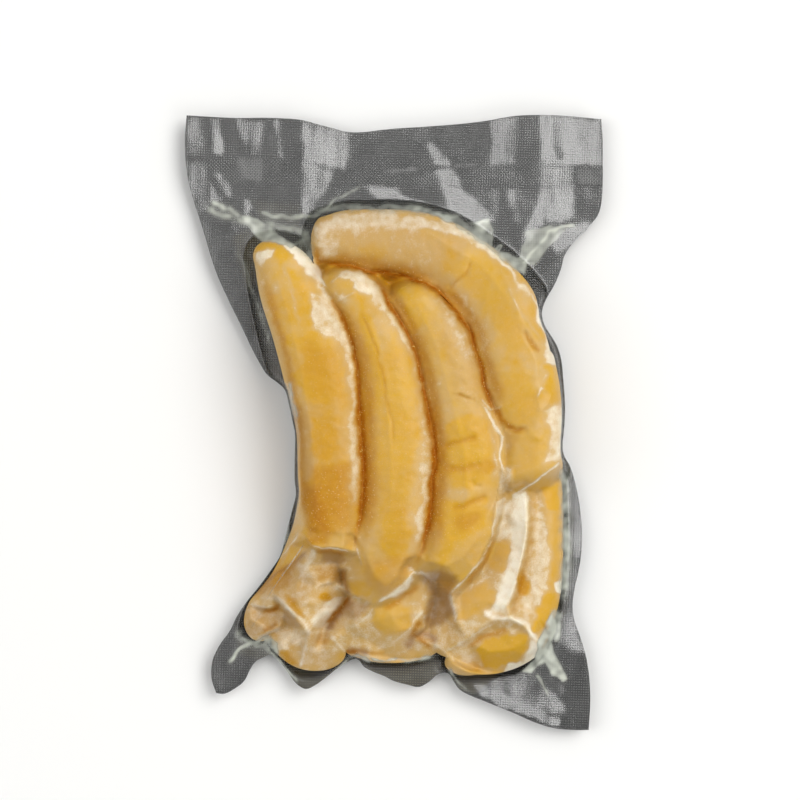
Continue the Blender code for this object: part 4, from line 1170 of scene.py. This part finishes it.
@dataclass
class Pack:
    """All maps of the pack: the films' heights and the finish of what lies under them.

    Either film bridges hollows narrower than twice its bridge, falls no steeper than its slope, and hangs
    no further out than its reach. The films close up over a band at the pouch's edge. A warp gives push,
    grain and seed of each noise, and a lean is what a full facet adds to the film's normal.
    """

    plan: Plan
    outline: Outline
    survey: Survey
    front: Array = field(init=False)
    back: Array = field(init=False)
    frost_and_highlight: Array = field(init=False)
    amber_and_shade: Array = field(init=False)
    shade: Array = field(init=False)
    stain: Array = field(init=False)
    covered: Array = field(init=False)
    topmost: Array = field(init=False)
    juice: Array = field(init=False)
    loose: Array = field(init=False)
    lean: tuple[Array, Array] = field(init=False)
    sides: int = 420
    sections: int = 560
    dome_sections: int = 70
    lowest_seam: float = 1.6
    closing: float = 3.5
    groove_bridge: float = 1.5
    front_slope: float = 4.0
    front_reach: float = 10.0
    back_bridge: float = 4.0
    back_slope: float = 0.9
    back_reach: float = 12.0
    back_depth: float = 1.2
    half_gap: float = 0.05
    lowest_back: float = 0.02
    plain_frost: float = 0.42
    facet_edge: float = 0.6
    key_lean: tuple[float, float] = (0.25, 0.175)
    fill_lean: tuple[float, float] = (-0.28, 0.04)
    most_juice: float = 0.95
    flesh_warp: tuple[tuple[float, float, int], ...] = ((1.3, 5.0, 21), (0.6, 1.8, 23))
    film_warp: tuple[tuple[float, float, int], ...] = ((0.35, 3.0, 41),)
    juice_warp: tuple[tuple[float, float, int], ...] = ((0.8, 4.0, 45),)

    def __post_init__(self) -> None:
        """Work out every map in turn."""
        self.shape_films()
        self.mark_flesh()
        self.mark_film()

    def seam(self) -> Array:
        """Work out the plane in which the films meet.

        Returns:
            Its height: level, plus s.d exp(-(d/r)^2) for each panel, with d from its middle.
        """
        z = np.full(self.plan.x.shape, SEAM_HEIGHT)
        for (cx, cy), (rx, ry), (sx, sy) in SEAM_PANELS:
            dx, dy = self.plan.x - cx, self.plan.y - cy
            z = z + (sx * dx + sy * dy) * np.exp(-((dx / rx) ** 2) - (dy / ry) ** 2)
        return np.maximum(z, self.lowest_seam)

    def shape_films(self) -> None:
        """Drape the front film over the bananas' tops and the back film under them."""
        plan = self.plan
        angles = np.linspace(0, 2 * np.pi, self.sides, endpoint=False)
        upper, lower = (
            np.vstack([b.surface(self.sections, self.dome_sections, angles).reshape(-1, 3) for b in row])
            for row in (UPPER, LOWER))
        points = np.vstack([upper, lower])
        tops, bottoms = plan.extreme(points, True), plan.extreme(points, False)
        solid = plan.blur((plan.extreme(upper, True) > 0).astype(float), 0.4)
        self.topmost = plan.blur(plan.spread(solid, 2.5, False), 0.4)
        seam, edge = self.seam(), self.outline.edge_distance(plan.x, plan.y)
        fade = ease(0.0, self.closing, edge)
        self.covered = ease(0.5, 3.5, plan.blur(np.clip(tops - seam, 0, 6), 1.0))

        over = np.maximum(tops, seam)
        bridged = plan.spread(plan.spread(over, self.groove_bridge, True), self.groove_bridge, False)
        draped = plan.blur(plan.drape(bridged, self.front_slope, self.front_reach), 0.7)
        draped = plan.blur(FoldedSheet(FOLDS, FOLDS_RIM).laid_over(plan, self.survey, draped), 0.4)
        relief_x, relief_y = self.survey.seen(plan.x, plan.y, draped)
        relief = added(RELIEF, relief_x, relief_y)
        crinkle = 0.05 * plan.noise(3.0, 11) + 0.03 * plan.noise(1.6, 12)
        self.front = seam + (draped - seam + relief + crinkle * self.covered) * fade + self.half_gap
        self.front = np.maximum(self.front, seam + self.half_gap)

        under = np.minimum(bottoms - self.back_depth, seam)
        bridged = plan.spread(plan.spread(under, self.back_bridge, False), self.back_bridge, True)
        draped = plan.blur(-plan.drape(-bridged, self.back_slope, self.back_reach), 1.2)
        self.back = np.clip(seam + (draped - seam) * fade - self.half_gap, self.lowest_back, None)

    def warped(self, across: Array, down: Array,
               warp: Sequence[tuple[float, float, int]]) -> tuple[Array, Array]:
        """Push places about, so that the marks read there get uneven edges.

        Args:
            across: Frame positions across.
            down: Frame positions down.
            warp: Push in pixels, grain and first seed of each noise.

        Returns:
            Each position plus push * noise, once for each noise.
        """
        for push, grain, seed in warp:
            across = across + push * self.plan.noise(grain, seed)
            down = down + push * self.plan.noise(grain, seed + 1)
        return across, down

    def mark_flesh(self) -> None:
        """Lay frost and ice with painted highlights, brown-orange with painted shade, and painted mauve-brown
        shade over the flesh, with uneven edges.
        """
        plan = self.plan
        across, down = self.survey.seen(plan.x, plan.y, self.front)
        warp_x, warp_y = self.warped(across, down, self.flesh_warp)
        base = self.plain_frost + 0.10 * plan.noise(14.0, 31) + 0.08 * plan.noise(4.0, 32)
        # Frost, with painted highlights on the lit facets, sides and crests laid in with it
        frost_and_highlight = laid(base, FROST_AND_HIGHLIGHTS, warp_x, warp_y)
        frost_and_highlight = laid(frost_and_highlight, WHITE_ICE_AND_HIGHLIGHTS, across * 0.7 + warp_x * 0.3, down * 0.7 + warp_y * 0.3)
        self.frost_and_highlight = np.clip(frost_and_highlight + 0.04 * plan.noise(2.0, 33), 0, 1)
        soft_x, soft_y = across * 0.5 + warp_x * 0.5, down * 0.5 + warp_y * 0.5
        # Brown-orange and mauve-brown, both carrying painted shade
        self.amber_and_shade = np.clip(gathered(AMBER_AND_SHADE, soft_x, soft_y), 0, 1)
        self.shade = np.clip(gathered(SHADE, soft_x, soft_y), 0, 1)

    def mark_film(self) -> None:
        """Work out where the film is loose, how its facets lean and where juice has run."""
        plan = self.plan
        rise_y, rise_x = np.gradient(self.front, plan.cell)
        steep = np.hypot(rise_x, rise_y)
        flat = (1 - self.covered) * (1 - ease(0.45, 1.2, steep))
        self.loose = flat
        across, down = self.survey.seen(plan.x, plan.y, self.front)
        warp_x, warp_y = self.warped(across, down, self.film_warp)
        streak = 1 + 0.22 * plan.noise(2.2, 48, 5.0) + 0.14 * plan.noise(9.0, 49)
        key = streak * laid(np.zeros(across.shape), BRIGHT_FACETS, warp_x, warp_y)
        fill = streak * laid(np.zeros(across.shape), MIDDLE_FACETS, warp_x, warp_y)
        up = 1 / np.sqrt(1 + steep**2)
        ripple_x, ripple_y = 0.02 * plan.noise(4.0, 43, 2.0), 0.015 * plan.noise(5.0, 44)
        key, fill = plan.blur(key, self.facet_edge), plan.blur(fill, self.facet_edge)
        lean_x, lean_y = (k * key + f * fill for k, f in zip(self.key_lean, self.fill_lean))
        self.lean = (flat * (lean_x + ripple_x + rise_x * up), flat * (lean_y + ripple_y + rise_y * up))
        juice = gathered(JUICE, *self.warped(across, down, self.juice_warp))
        self.juice = np.clip(juice * (1 + 0.25 * plan.noise(2.5, 47)), 0, self.most_juice)
        self.stain = np.clip(gathered(STAIN, warp_x, warp_y), 0, 1)


class Graph:
    """The node tree of a material or of the world, with one way to add a node."""

    def __init__(self, holder: bpy.types.Material | bpy.types.World) -> None:
        """Start with no nodes.

        Args:
            holder: The new material or world that the tree belongs to.
        """
        holder.use_nodes = True
        self.tree = holder.node_tree
        self.tree.nodes.clear()

    def add(self, kind: str, links: dict[Any, Any] | Sequence[Any] = (), out: int | str = 0,
            **settings: Any) -> bpy.types.NodeSocket | None:
        """Add a node.

        Args:
            kind: Node type without its ShaderNode prefix.
            links: What goes into its sockets, another socket or a plain value: by the socket's name or
                index, or a row that starts at the first socket.
            out: Which of its outputs is wanted.
            **settings: The node's own properties.

        Returns:
            That output, or nothing from a node that has none.
        """
        node = self.tree.nodes.new("ShaderNode" + kind)
        for name, value in settings.items():
            setattr(node, name, value)
        for key, value in links.items() if isinstance(links, dict) else enumerate(links):
            if isinstance(value, bpy.types.NodeSocket):
                self.tree.links.new(value, node.inputs[key])
            else:
                node.inputs[key].default_value = value
        return node.outputs[out] if node.outputs else None


def waffle(g: Graph, turn: float) -> bpy.types.NodeSocket:
    """Dots in rows both ways over a film: (1 + cos u)(1 + cos v) / 4.

    Args:
        g: The material's graph.
        turn: Turn of the rows, in radians.

    Returns:
        A height from 0 between the dots to 1 on them.
    """
    turned = g.add("Mapping", {"Vector": g.add("TexCoord", out="Object"), "Rotation": (0.0, 0.0, turn)})
    waves = []
    for axis in (0, 1):
        angle = g.add("Math", (g.add("SeparateXYZ", (turned,), axis), 2 * math.pi / EMBOSS_PITCH),
                      operation="MULTIPLY")
        waves.append(g.add("MapRange", (g.add("Math", (angle,), operation="COSINE"), -1.0, 1.0)))
    return g.add("Math", waves, operation="MULTIPLY")


def leaning(g: Graph) -> bpy.types.NodeSocket:
    """Turn a film's normal the way that its facets lean.

    Args:
        g: The material's graph.

    Returns:
        The normal plus the piece's own tilt, made one long.
    """
    tilt = g.add("Attribute", out="Vector", attribute_name="tilt")
    turned = g.add("VectorMath", (g.add("NewGeometry", out="Normal"), tilt), operation="ADD")
    return g.add("VectorMath", (turned,), operation="NORMALIZE")


@dataclass(frozen=True)
class FrozenFlesh:
    """Peeled banana, vacuum packed and frozen.

    It looks wet, yellow and a little see-through where the film touches it, and pale and dull where
    frost or ice lies between. Juice in the grooves freezes to a clear brown-orange. The frost and ice coats
    also carry painted highlights, and the brown-orange and mauve-brown coats painted shade. Noise is given
    as lumps a metre and detail, and a span as the values at which something starts and is full.
    """

    clear: str = "DFB128"
    deep: str = "D29D1A"
    frost_and_highlight: str = "D3B175"
    ice_and_highlight: str = "F6EEDC"
    amber_and_shade: str = "A25C0C"
    shade: str = "8C5A34"
    roughness: float = 0.5
    fine: tuple[float, float] = (1500.0, 3.0)
    mid: tuple[float, float] = (420.0, 2.0)
    broad: tuple[float, float] = (60.0, 2.0)
    crystal: tuple[float, float] = (1250.0, 1.0)
    speck: float = 0.28
    frost_span: tuple[float, float] = (0.08, 0.75)
    ice_span: tuple[float, float] = (0.66, 1.0)
    crystal_span: tuple[float, float] = (0.66, 0.72)
    grain_height: float = 0.00012
    lump_height: float = 0.00006

    def material(self) -> bpy.types.Material:
        """Build the node material.

        Returns:
            The material: yellow flesh, then frost and ice that carry painted highlights, brown-orange and
                mauve-brown that carry painted shade, and crystals, laid over it in turn.
        """
        material = bpy.data.materials.new("frozen_banana_flesh")
        g = Graph(material)
        place = g.add("TexCoord", out="Object")
        frost_and_highlight, amber_and_shade, shade = (g.add("Attribute", out="Fac", attribute_name=name)
                               for name in ("frost_and_highlight", "amber_and_shade", "shade"))
        fine, mid, broad, crystal = (
            g.add("TexNoise", {"Vector": place, "Scale": lumps, "Detail": detail}, "Fac")
            for lumps, detail in (self.fine, self.mid, self.broad, self.crystal))
        centred = g.add("Math", (fine, 0.5), operation="SUBTRACT")
        speck = g.add("Math", (centred, self.speck), operation="MULTIPLY")
        cover = g.add("Math", (frost_and_highlight, speck), operation="ADD", use_clamp=True)
        patches = g.add("MapRange", (mid, 0.2, 0.6, 0.7, 1.0))
        sparkle = g.add("MapRange", (crystal, *self.crystal_span))
        wet = g.add("MapRange", (amber_and_shade, 0.2, 0.9, 0.10, 0.5))
        # Coats in turn: deeper yellow, frost and ice with painted highlights, brown-orange with painted
        # shade, painted mauve-brown shade, crystals
        coats = (
            (broad, self.deep),
            (g.add("MapRange", (cover, *self.frost_span)), self.frost_and_highlight),
            (g.add("MapRange", (cover, *self.ice_span)), self.ice_and_highlight),
            (g.add("Math", (amber_and_shade, patches), operation="MULTIPLY"), self.amber_and_shade),
            (g.add("Math", (shade, 0.8), operation="MULTIPLY"), self.shade),
            (g.add("Math", (sparkle, wet), operation="MULTIPLY"), self.ice_and_highlight))
        colour = linear(self.clear)
        for share, coat in coats:
            colour = g.add("Mix", {0: share, 6: colour, 7: linear(coat)}, 2, data_type="RGBA")
        grain = g.add("Bump", {"Height": fine, "Distance": self.grain_height, "Strength": 0.6})
        lumps = g.add("Bump", {"Height": mid, "Distance": self.lump_height, "Strength": 0.5, "Normal": grain})
        flesh = g.add("BsdfPrincipled", {
            "Base Color": colour, "Roughness": self.roughness, "Normal": lumps, "Subsurface Weight": 0.05,
            "Subsurface Radius": (1.0, 0.45, 0.18), "Subsurface Scale": 0.003, "Specular IOR Level": 0.35})
        g.add("OutputMaterial", {"Surface": flesh})
        return material


EMBOSS_PITCH = 0.00116  # metres from dot to dot of the pressed net, which is 1 to 1.5 mm on such pouches
EMBOSS_TURN = 0.03  # the square net runs very nearly along the pouch


@dataclass(frozen=True)
class ClearFilm:
    """Clear pouch film of polyamide and polyethylene, blown smooth.

    It is glossy, yet its many small creases spread what it mirrors. Where it lies loose on the embossed
    film it mirrors far more than one smooth sheet, so its gloss is given in layers of film. Thawed juice
    that froze again hazes it, and over the grooves it is tinted brown-orange, partly by the clear brown juice
    there and partly as painted shade.
    """

    juice: str = "C6CABC"
    juice_roughness: float = 0.4
    tint: tuple[float, float, float, float] = (0.98, 0.98, 0.97, 1.0)
    groove_juice_and_shade_tint: tuple[float, float, float, float] = (0.98, 0.91, 0.52, 1.0)
    roughness: tuple[float, float] = (0.34, 0.32)
    layers: tuple[float, float] = (0.38, 3.8)
    ior: float = 1.45
    ripples: float = 500.0
    ripple_height: float = 0.0002
    press_height: float = 0.0001

    def material(self) -> bpy.types.Material:
        """Build the node material.

        Returns:
            The material: see-through or hazed, with a mirror coat that follows the film's facets.
        """
        material = bpy.data.materials.new("clear_pouch_film")
        g = Graph(material)
        loose, juice, amber_and_shade = (g.add("Attribute", out="Fac", attribute_name=name)
                               for name in ("loose", "juice", "amber_and_shade"))
        place = g.add("TexCoord", out="Object")
        grain = g.add("TexNoise", {"Vector": place, "Scale": self.ripples, "Detail": 2.0}, "Fac")
        ripple = g.add("Bump", {"Height": grain, "Distance": self.ripple_height, "Strength": 0.35,
                                "Normal": leaning(g)})
        dots = waffle(g, EMBOSS_TURN)
        pressed = g.add("Math", (loose, 0.5), operation="MULTIPLY")
        ripple = g.add("Bump", {"Height": dots, "Distance": self.press_height, "Strength": pressed,
                                "Normal": ripple})
        haze = g.add("BsdfPrincipled", {"Base Color": linear(self.juice), "Roughness": self.juice_roughness})
        # Over the grooves the see-through part is tinted brown-orange, partly for juice and partly as painted
        # shade
        tint = g.add("Mix", {0: amber_and_shade, 6: self.tint, 7: self.groove_juice_and_shade_tint}, 2, data_type="RGBA")
        body = g.add("MixShader", (juice, g.add("BsdfTransparent", {"Color": tint}), haze))
        layers = g.add("MapRange", (loose, 0.0, 1.0, *self.layers))
        for thinner, left in ((dots, 0.5), (amber_and_shade, 0.1)):
            layers = g.add("Math", (layers, g.add("MapRange", (thinner, 0.0, 1.0, 1.0, left))),
                           operation="MULTIPLY")
        facing = g.add("Fresnel", {"IOR": self.ior, "Normal": ripple})
        mirror = g.add("Math", (facing, layers), operation="MULTIPLY", use_clamp=True)
        rough = g.add("MapRange", (loose, 0.0, 1.0, *self.roughness))
        gloss = g.add("BsdfGlossy", {"Color": (1.0, 1.0, 1.0, 1.0), "Roughness": rough, "Normal": ripple})
        g.add("OutputMaterial", {"Surface": g.add("MixShader", (mirror, body, gloss))})
        return material


@dataclass(frozen=True)
class EmbossedFilm:
    """Dark grey pouch film, pressed with a fine square waffle, and a slanted one along the seal.

    The light that the pressed dots catch is painted in as a pale net on the dark film, a painted highlight.
    Brown juice behind the clear film turns both to olive.
    """

    dark: str = "161716"
    # Pale net colours, dry and wet: the painted highlight of the pressed dots
    net: str = "868886"
    wet_dark: str = "4E472F"
    wet_net_highlight: str = "9C9368"
    roughness: float = 0.2
    dot_span: tuple[float, float] = (0.30, 0.95)
    wear: float = 90.0
    wear_span: tuple[float, float] = (0.35, 0.65)
    press_height: float = 0.00008

    def material(self) -> bpy.types.Material:
        """Build the node material.

        Returns:
            The material: the dark film with its net laid over it, dry or wet.
        """
        material = bpy.data.materials.new("embossed_grey_film")
        g = Graph(material)
        seal, wet = (g.add("Attribute", out="Fac", attribute_name=name) for name in ("seal", "stain"))
        square, slanted = waffle(g, EMBOSS_TURN), waffle(g, math.radians(45))
        height = g.add("Mix", {0: seal, 2: square, 3: slanted}, data_type="FLOAT")
        place = g.add("TexCoord", out="Object")
        worn = g.add("TexNoise", {"Vector": place, "Scale": self.wear, "Detail": 3.0}, "Fac")
        # Where the pale net of painted highlight shows on the pressed dots, patchy by the noise
        dots = g.add("Math", (g.add("MapRange", (height, *self.dot_span)),
                              g.add("MapRange", (worn, *self.wear_span, 0.45, 1.0))), operation="MULTIPLY")
        stain = g.add("Math", (wet, 0.9), operation="MULTIPLY")
        film, net = (g.add("Mix", {0: stain, 6: linear(dry), 7: linear(soaked)}, 2, data_type="RGBA")
                     for dry, soaked in ((self.dark, self.wet_dark), (self.net, self.wet_net_highlight)))
        colour = g.add("Mix", {0: dots, 6: film, 7: net}, 2, data_type="RGBA")
        bump = g.add("Bump", {"Height": height, "Distance": self.press_height, "Strength": 0.5,
                              "Normal": leaning(g)})
        film = g.add("BsdfPrincipled", {
            "Base Color": colour, "Roughness": self.roughness, "Normal": bump, "Specular IOR Level": 0.4})
        g.add("OutputMaterial", {"Surface": film})
        return material


@dataclass(frozen=True)
class PaleFloor:
    """Painted board, matt and nearly white, so that it keeps only the pack's soft shadow."""

    colour: str = "F4F4F3"
    paler: str = "F7F7F6"
    roughness: float = 0.9

    def material(self) -> bpy.types.Material:
        """Build the node material.

        Returns:
            The material.
        """
        material = bpy.data.materials.new("matt_white_floor")
        g = Graph(material)
        place = g.add("TexCoord", out="Object")
        cloud = g.add("TexNoise", {"Vector": place, "Scale": 3.0, "Detail": 2.0}, "Fac")
        shade = g.add("Mix", {0: cloud, 6: linear(self.colour), 7: linear(self.paler)}, 2, data_type="RGBA")
        board = g.add("BsdfPrincipled", {"Base Color": shade, "Roughness": self.roughness})
        g.add("OutputMaterial", {"Surface": board})
        return material


def grid_faces(rows: int, columns: int, wrap: bool = False) -> Array:
    """Join a grid of points by quads.

    Args:
        rows: How many rows of points it has.
        columns: How many points a row has.
        wrap: Whether each row closes to a ring.

    Returns:
        Four point numbers a quad, which faces up, or outwards on a tube.
    """
    i, j = np.mgrid[0:rows - 1, 0:columns if wrap else columns - 1]
    k = (j + 1) % columns
    a, b, c, d = i * columns + j, i * columns + k, (i + 1) * columns + k, (i + 1) * columns + j
    return np.column_stack([a.ravel(), b.ravel(), c.ravel(), d.ravel()])


def make_piece(name: str, points: Array, quads: Array, material: bpy.types.Material,
               maps: dict[str, Array]) -> bpy.types.Object:
    """Write a mesh object.

    Args:
        name: The piece's name.
        points: Its points in millimetres.
        quads: Four point numbers a face.
        material: Its finish.
        maps: Numbers or vectors kept on its points, by name.

    Returns:
        The object, which sits at the origin.
    """
    mesh = bpy.data.meshes.new(name)
    mesh.vertices.add(len(points))
    mesh.vertices.foreach_set("co", (points * MM).astype(np.float32).ravel())
    mesh.loops.add(quads.size)
    mesh.loops.foreach_set("vertex_index", quads.astype(np.int32).ravel())
    mesh.polygons.add(len(quads))
    mesh.polygons.foreach_set("loop_start", np.arange(0, quads.size, 4, dtype=np.int32))
    mesh.update(calc_edges=True)
    mesh.shade_smooth()
    for key, values in maps.items():
        if values.ndim == 1:
            mesh.attributes.new(key, "FLOAT", "POINT").data.foreach_set("value", values.astype(np.float32))
        else:
            mesh.attributes.new(key, "FLOAT_VECTOR", "POINT").data.foreach_set(
                "vector", values.astype(np.float32).ravel())
    mesh.materials.append(material)
    piece = bpy.data.objects.new(name, mesh)
    bpy.context.scene.collection.objects.link(piece)
    return piece


@dataclass
class Fruit:
    """The bananas of both layers, pressed to shape by the film over them.

    They stay a clearance under the front film and another over the back film. A lower banana keeps its
    own round shape where it is buried, which is where this share of the place lies under the upper layer.
    """

    pack: Pack
    finish: FrozenFlesh
    clearance: float = 0.25
    step: float = 0.03
    back_clearance: float = 0.15
    sections: int = 250
    dome_sections: int = 22
    top_sides: int = 60
    low_sides: int = 18
    buried: tuple[float, float] = (0.6, 0.98)

    def build(self) -> list[bpy.types.Object]:
        """Make every banana, each a hair deeper than its neighbour so that no two faces coincide.

        Returns:
            The bananas, the upper layer first.
        """
        material = self.finish.material()
        return [self.banana(shape, material, self.clearance + self.step * (k % 3))
                for k, shape in enumerate(UPPER + LOWER)]

    def banana(self, shape: BananaShape, material: bpy.types.Material, clearance: float) -> bpy.types.Object:
        """Make one banana.

        Args:
            shape: Its plan and heights.
            material: The flesh.
            clearance: How far under the film it stays.

        Returns:
            A closed tube whose upper half meets the film, z = film - clearance, save for where a lower
            banana lies under an upper one. Its underside stays over the back film.
        """
        angles = np.concatenate([np.linspace(0, np.pi, self.top_sides, endpoint=False),
                                 np.linspace(np.pi, 2 * np.pi, self.low_sides, endpoint=False)])
        points = shape.surface(self.sections, self.dome_sections, angles)
        x, y, own = points[..., 0], points[..., 1], points[..., 2]
        film = self.pack.plan.read(self.pack.front, x, y) - clearance
        free = 1.0
        if shape.layer is Layer.LOWER:
            free = 1 - ease(*self.buried, self.pack.plan.read(self.pack.topmost, x, y))
        upper = ease(0.0, 0.25, np.sin(angles))[None]
        z = np.minimum(own + (film - own) * upper * np.where(film < own, 1, free), film)
        back = self.pack.plan.read(self.pack.back, x, y) + self.back_clearance
        z = np.maximum(z, np.minimum(back, film))
        grid = np.dstack([x, y, z])
        rings, sides = z.shape
        caps = np.stack([grid[0].mean(0), grid[-1].mean(0)])
        body = grid_faces(rings, sides, wrap=True)
        first, last = rings * sides, rings * sides + 1
        k = np.arange(0, sides, 2)
        start = np.column_stack([np.full(len(k), first), (k + 2) % sides, k + 1, k])
        end = (rings - 1) * sides
        finish = np.column_stack([np.full(len(k), last), end + k, end + k + 1, end + (k + 2) % sides])
        everything = np.vstack([grid.reshape(-1, 3), caps])
        plan, px, py = self.pack.plan, everything[:, 0], everything[:, 1]
        maps = {key: plan.read(getattr(self.pack, key), px, py) for key in ("frost_and_highlight", "amber_and_shade", "shade")}
        quads = np.vstack([body, start, finish])
        piece = make_piece(shape.name + "_flesh", everything, quads, material, maps)
        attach(piece, "root")
        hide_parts(shape.name)
        LOG.info("%s: %d faces", piece.name, len(piece.data.polygons))
        return piece


@dataclass
class Pouch:
    """The pouch's two films. The back one has its faces this far above and below its middle."""

    pack: Pack
    front: ClearFilm
    back: EmbossedFilm
    front_points: tuple[int, int] = (300, 330)
    back_points: tuple[int, int] = (150, 200)
    above: float = 0.02
    below: float = 0.1
    seal: tuple[float, float] = (112.0, 126.0)
    seal_edge: float = 1.0

    def build(self) -> list[bpy.types.Object]:
        """Make both films."""
        return [self.front_film(), self.back_film()]

    def tilt(self, x: Array, y: Array) -> Array:
        """What to add to the film's normal at each place, from the pack's lean maps."""
        lean_x, lean_y = (self.pack.plan.read(side, x, y) for side in self.pack.lean)
        return np.column_stack([lean_x, lean_y, np.zeros(len(x))])

    def front_film(self) -> bpy.types.Object:
        """Make the clear film.

        Returns:
            A sheet over the outline, with z read from the pack's front map.
        """
        xy = self.pack.outline.sheet(*self.front_points)
        x, y = xy[..., 0].ravel(), xy[..., 1].ravel()
        plan = self.pack.plan
        z = plan.read(self.pack.front, x, y)
        maps = {key: plan.read(getattr(self.pack, key), x, y) for key in ("loose", "juice", "amber_and_shade")}
        maps["tilt"] = self.tilt(x, y)
        piece = make_piece("film_front_sheet", np.column_stack([x, y, z]), grid_faces(*xy.shape[:2]),
                           self.front.material(), maps)
        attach(piece, "root")
        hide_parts("film_front")
        LOG.info("%s: %d faces", piece.name, len(piece.data.polygons))
        return piece

    def back_film(self) -> bpy.types.Object:
        """Make the embossed film.

        Returns:
            A closed thin sheet over the outline, with z read from the pack's back map.
        """
        xy = self.pack.outline.sheet(*self.back_points)
        rows, columns = xy.shape[:2]
        x, y = xy[..., 0].ravel(), xy[..., 1].ravel()
        plan = self.pack.plan
        z = plan.read(self.pack.back, x, y)
        upper = np.column_stack([x, y, z + self.above])
        lower = np.column_stack([x, y, np.maximum(z - self.below, 0.0)])
        top = grid_faces(rows, columns)
        rim = np.concatenate([np.arange(columns), np.arange(1, rows) * columns + columns - 1,
                              (rows - 1) * columns + np.arange(columns - 2, -1, -1),
                              np.arange(rows - 2, 0, -1) * columns])
        after = np.roll(rim, -1)
        offset = len(upper)
        sides = np.column_stack([after, rim, rim + offset, after + offset])
        quads = np.vstack([top, top[:, ::-1] + offset, sides])
        points = np.vstack([upper, lower])
        (low, high), soft, up = self.seal, self.seal_edge, points[:, 1]
        seal = ease(low, low + soft, up) * (1 - ease(high - soft, high, up))
        maps = {"seal": seal, "tilt": self.tilt(points[:, 0], points[:, 1]),
                "stain": plan.read(self.pack.stain, points[:, 0], points[:, 1])}
        piece = make_piece("film_back_sheet", points, quads, self.back.material(), maps)
        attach(piece, "root")
        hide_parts("film_back")
        LOG.info("%s: %d faces", piece.name, len(piece.data.polygons))
        return piece


@dataclass(frozen=True)
class SoftBox:
    """A lamp behind a white cloth, which lights the pack softly from one side."""

    name: str
    place: tuple[float, float, float]
    size: tuple[float, float]
    glow: float
    colour: tuple[float, float, float] = (1.0, 0.995, 0.98)

    def build(self) -> None:
        """Hang it, in metres, facing the pack. Its power is pi * area * the glow that is seen on it."""
        data = bpy.data.lights.new(self.name, "AREA")
        data.shape = "RECTANGLE"
        data.size, data.size_y = self.size
        data.energy = math.pi * self.size[0] * self.size[1] * self.glow
        data.color = self.colour
        light = bpy.data.objects.new(self.name, data)
        bpy.context.scene.collection.objects.link(light)
        light.location = self.place
        aim = -light.location.normalized()
        light.rotation_euler = aim.to_track_quat("-Z", "Y").to_euler()


@dataclass
class Studio:
    """Floor, lights and camera. The sky's glow changes over a span of heights from horizon to zenith."""

    survey: Survey
    lights: tuple[SoftBox, ...] = (
        SoftBox("key_light", (1.41, 0.99, 2.46), (2.1, 2.1), 4.35),
        SoftBox("fill_light", (-1.71, 0.15, 2.46), (1.8, 2.6), 2.1),
        SoftBox("side_light", (1.6, -1.35, 2.1), (1.6, 1.6), 1.5))
    floor_half: float = 6000.0
    floor_drop: float = 0.05
    sky_span: tuple[float, float] = (0.35, 0.95)
    sky_glow: tuple[float, float] = (0.62, 0.22)
    sensor: float = 36.0
    clip: tuple[float, float] = (0.05, 50.0)

    def build(self) -> None:
        """Set up the room."""
        self.floor()
        for light in self.lights:
            light.build()
        self.world()
        self.camera()

    def floor(self) -> None:
        """Lay a large matt floor just under the pack."""
        corners = ((-1, -1), (1, -1), (1, 1), (-1, 1))
        points = np.array([(x * self.floor_half, y * self.floor_half, -self.floor_drop) for x, y in corners])
        piece = make_piece("studio_floor", points, np.array([[0, 1, 2, 3]]), PaleFloor().material(), {})

    def world(self) -> None:
        """Make a sky that is pale round the horizon and darker overhead, where the flat film mirrors it."""
        world = bpy.data.worlds.new("studio_world")
        bpy.context.scene.world = world
        g = Graph(world)
        height = g.add("SeparateXYZ", (g.add("TexCoord", out="Generated"),), 2)
        glow = g.add("MapRange", (height, *self.sky_span, *self.sky_glow))
        g.add("OutputWorld", {"Surface": g.add("Background", {"Strength": glow})})

    def camera(self) -> None:
        """Hang a long lens straight above the pack, with the mouth of the pouch at the top."""
        data = bpy.data.cameras.new("camera")
        data.sensor_width = self.sensor
        data.lens = self.sensor * self.survey.distance / self.survey.view_width
        data.clip_start, data.clip_end = self.clip
        camera = bpy.data.objects.new("camera", data)
        bpy.context.scene.collection.objects.link(camera)
        camera.location = (self.survey.centre[0] * MM, self.survey.centre[1] * MM, self.survey.distance * MM)
        bpy.context.scene.camera = camera
        bpy.context.scene.view_settings.view_transform = "Standard"
        bpy.context.scene.view_settings.look = "None"


def main() -> None:
    """Build the pack and the studio, and note the sizes."""
    logging.basicConfig(level=logging.INFO, format="%(name)s: %(message)s")
    survey = Survey()
    pack = Pack(Plan(), Outline(), survey)
    Fruit(pack, FrozenFlesh()).build()
    Pouch(pack, ClearFilm(), EmbossedFilm()).build()
    Studio(survey).build()


if __name__ == "__main__":
    main()
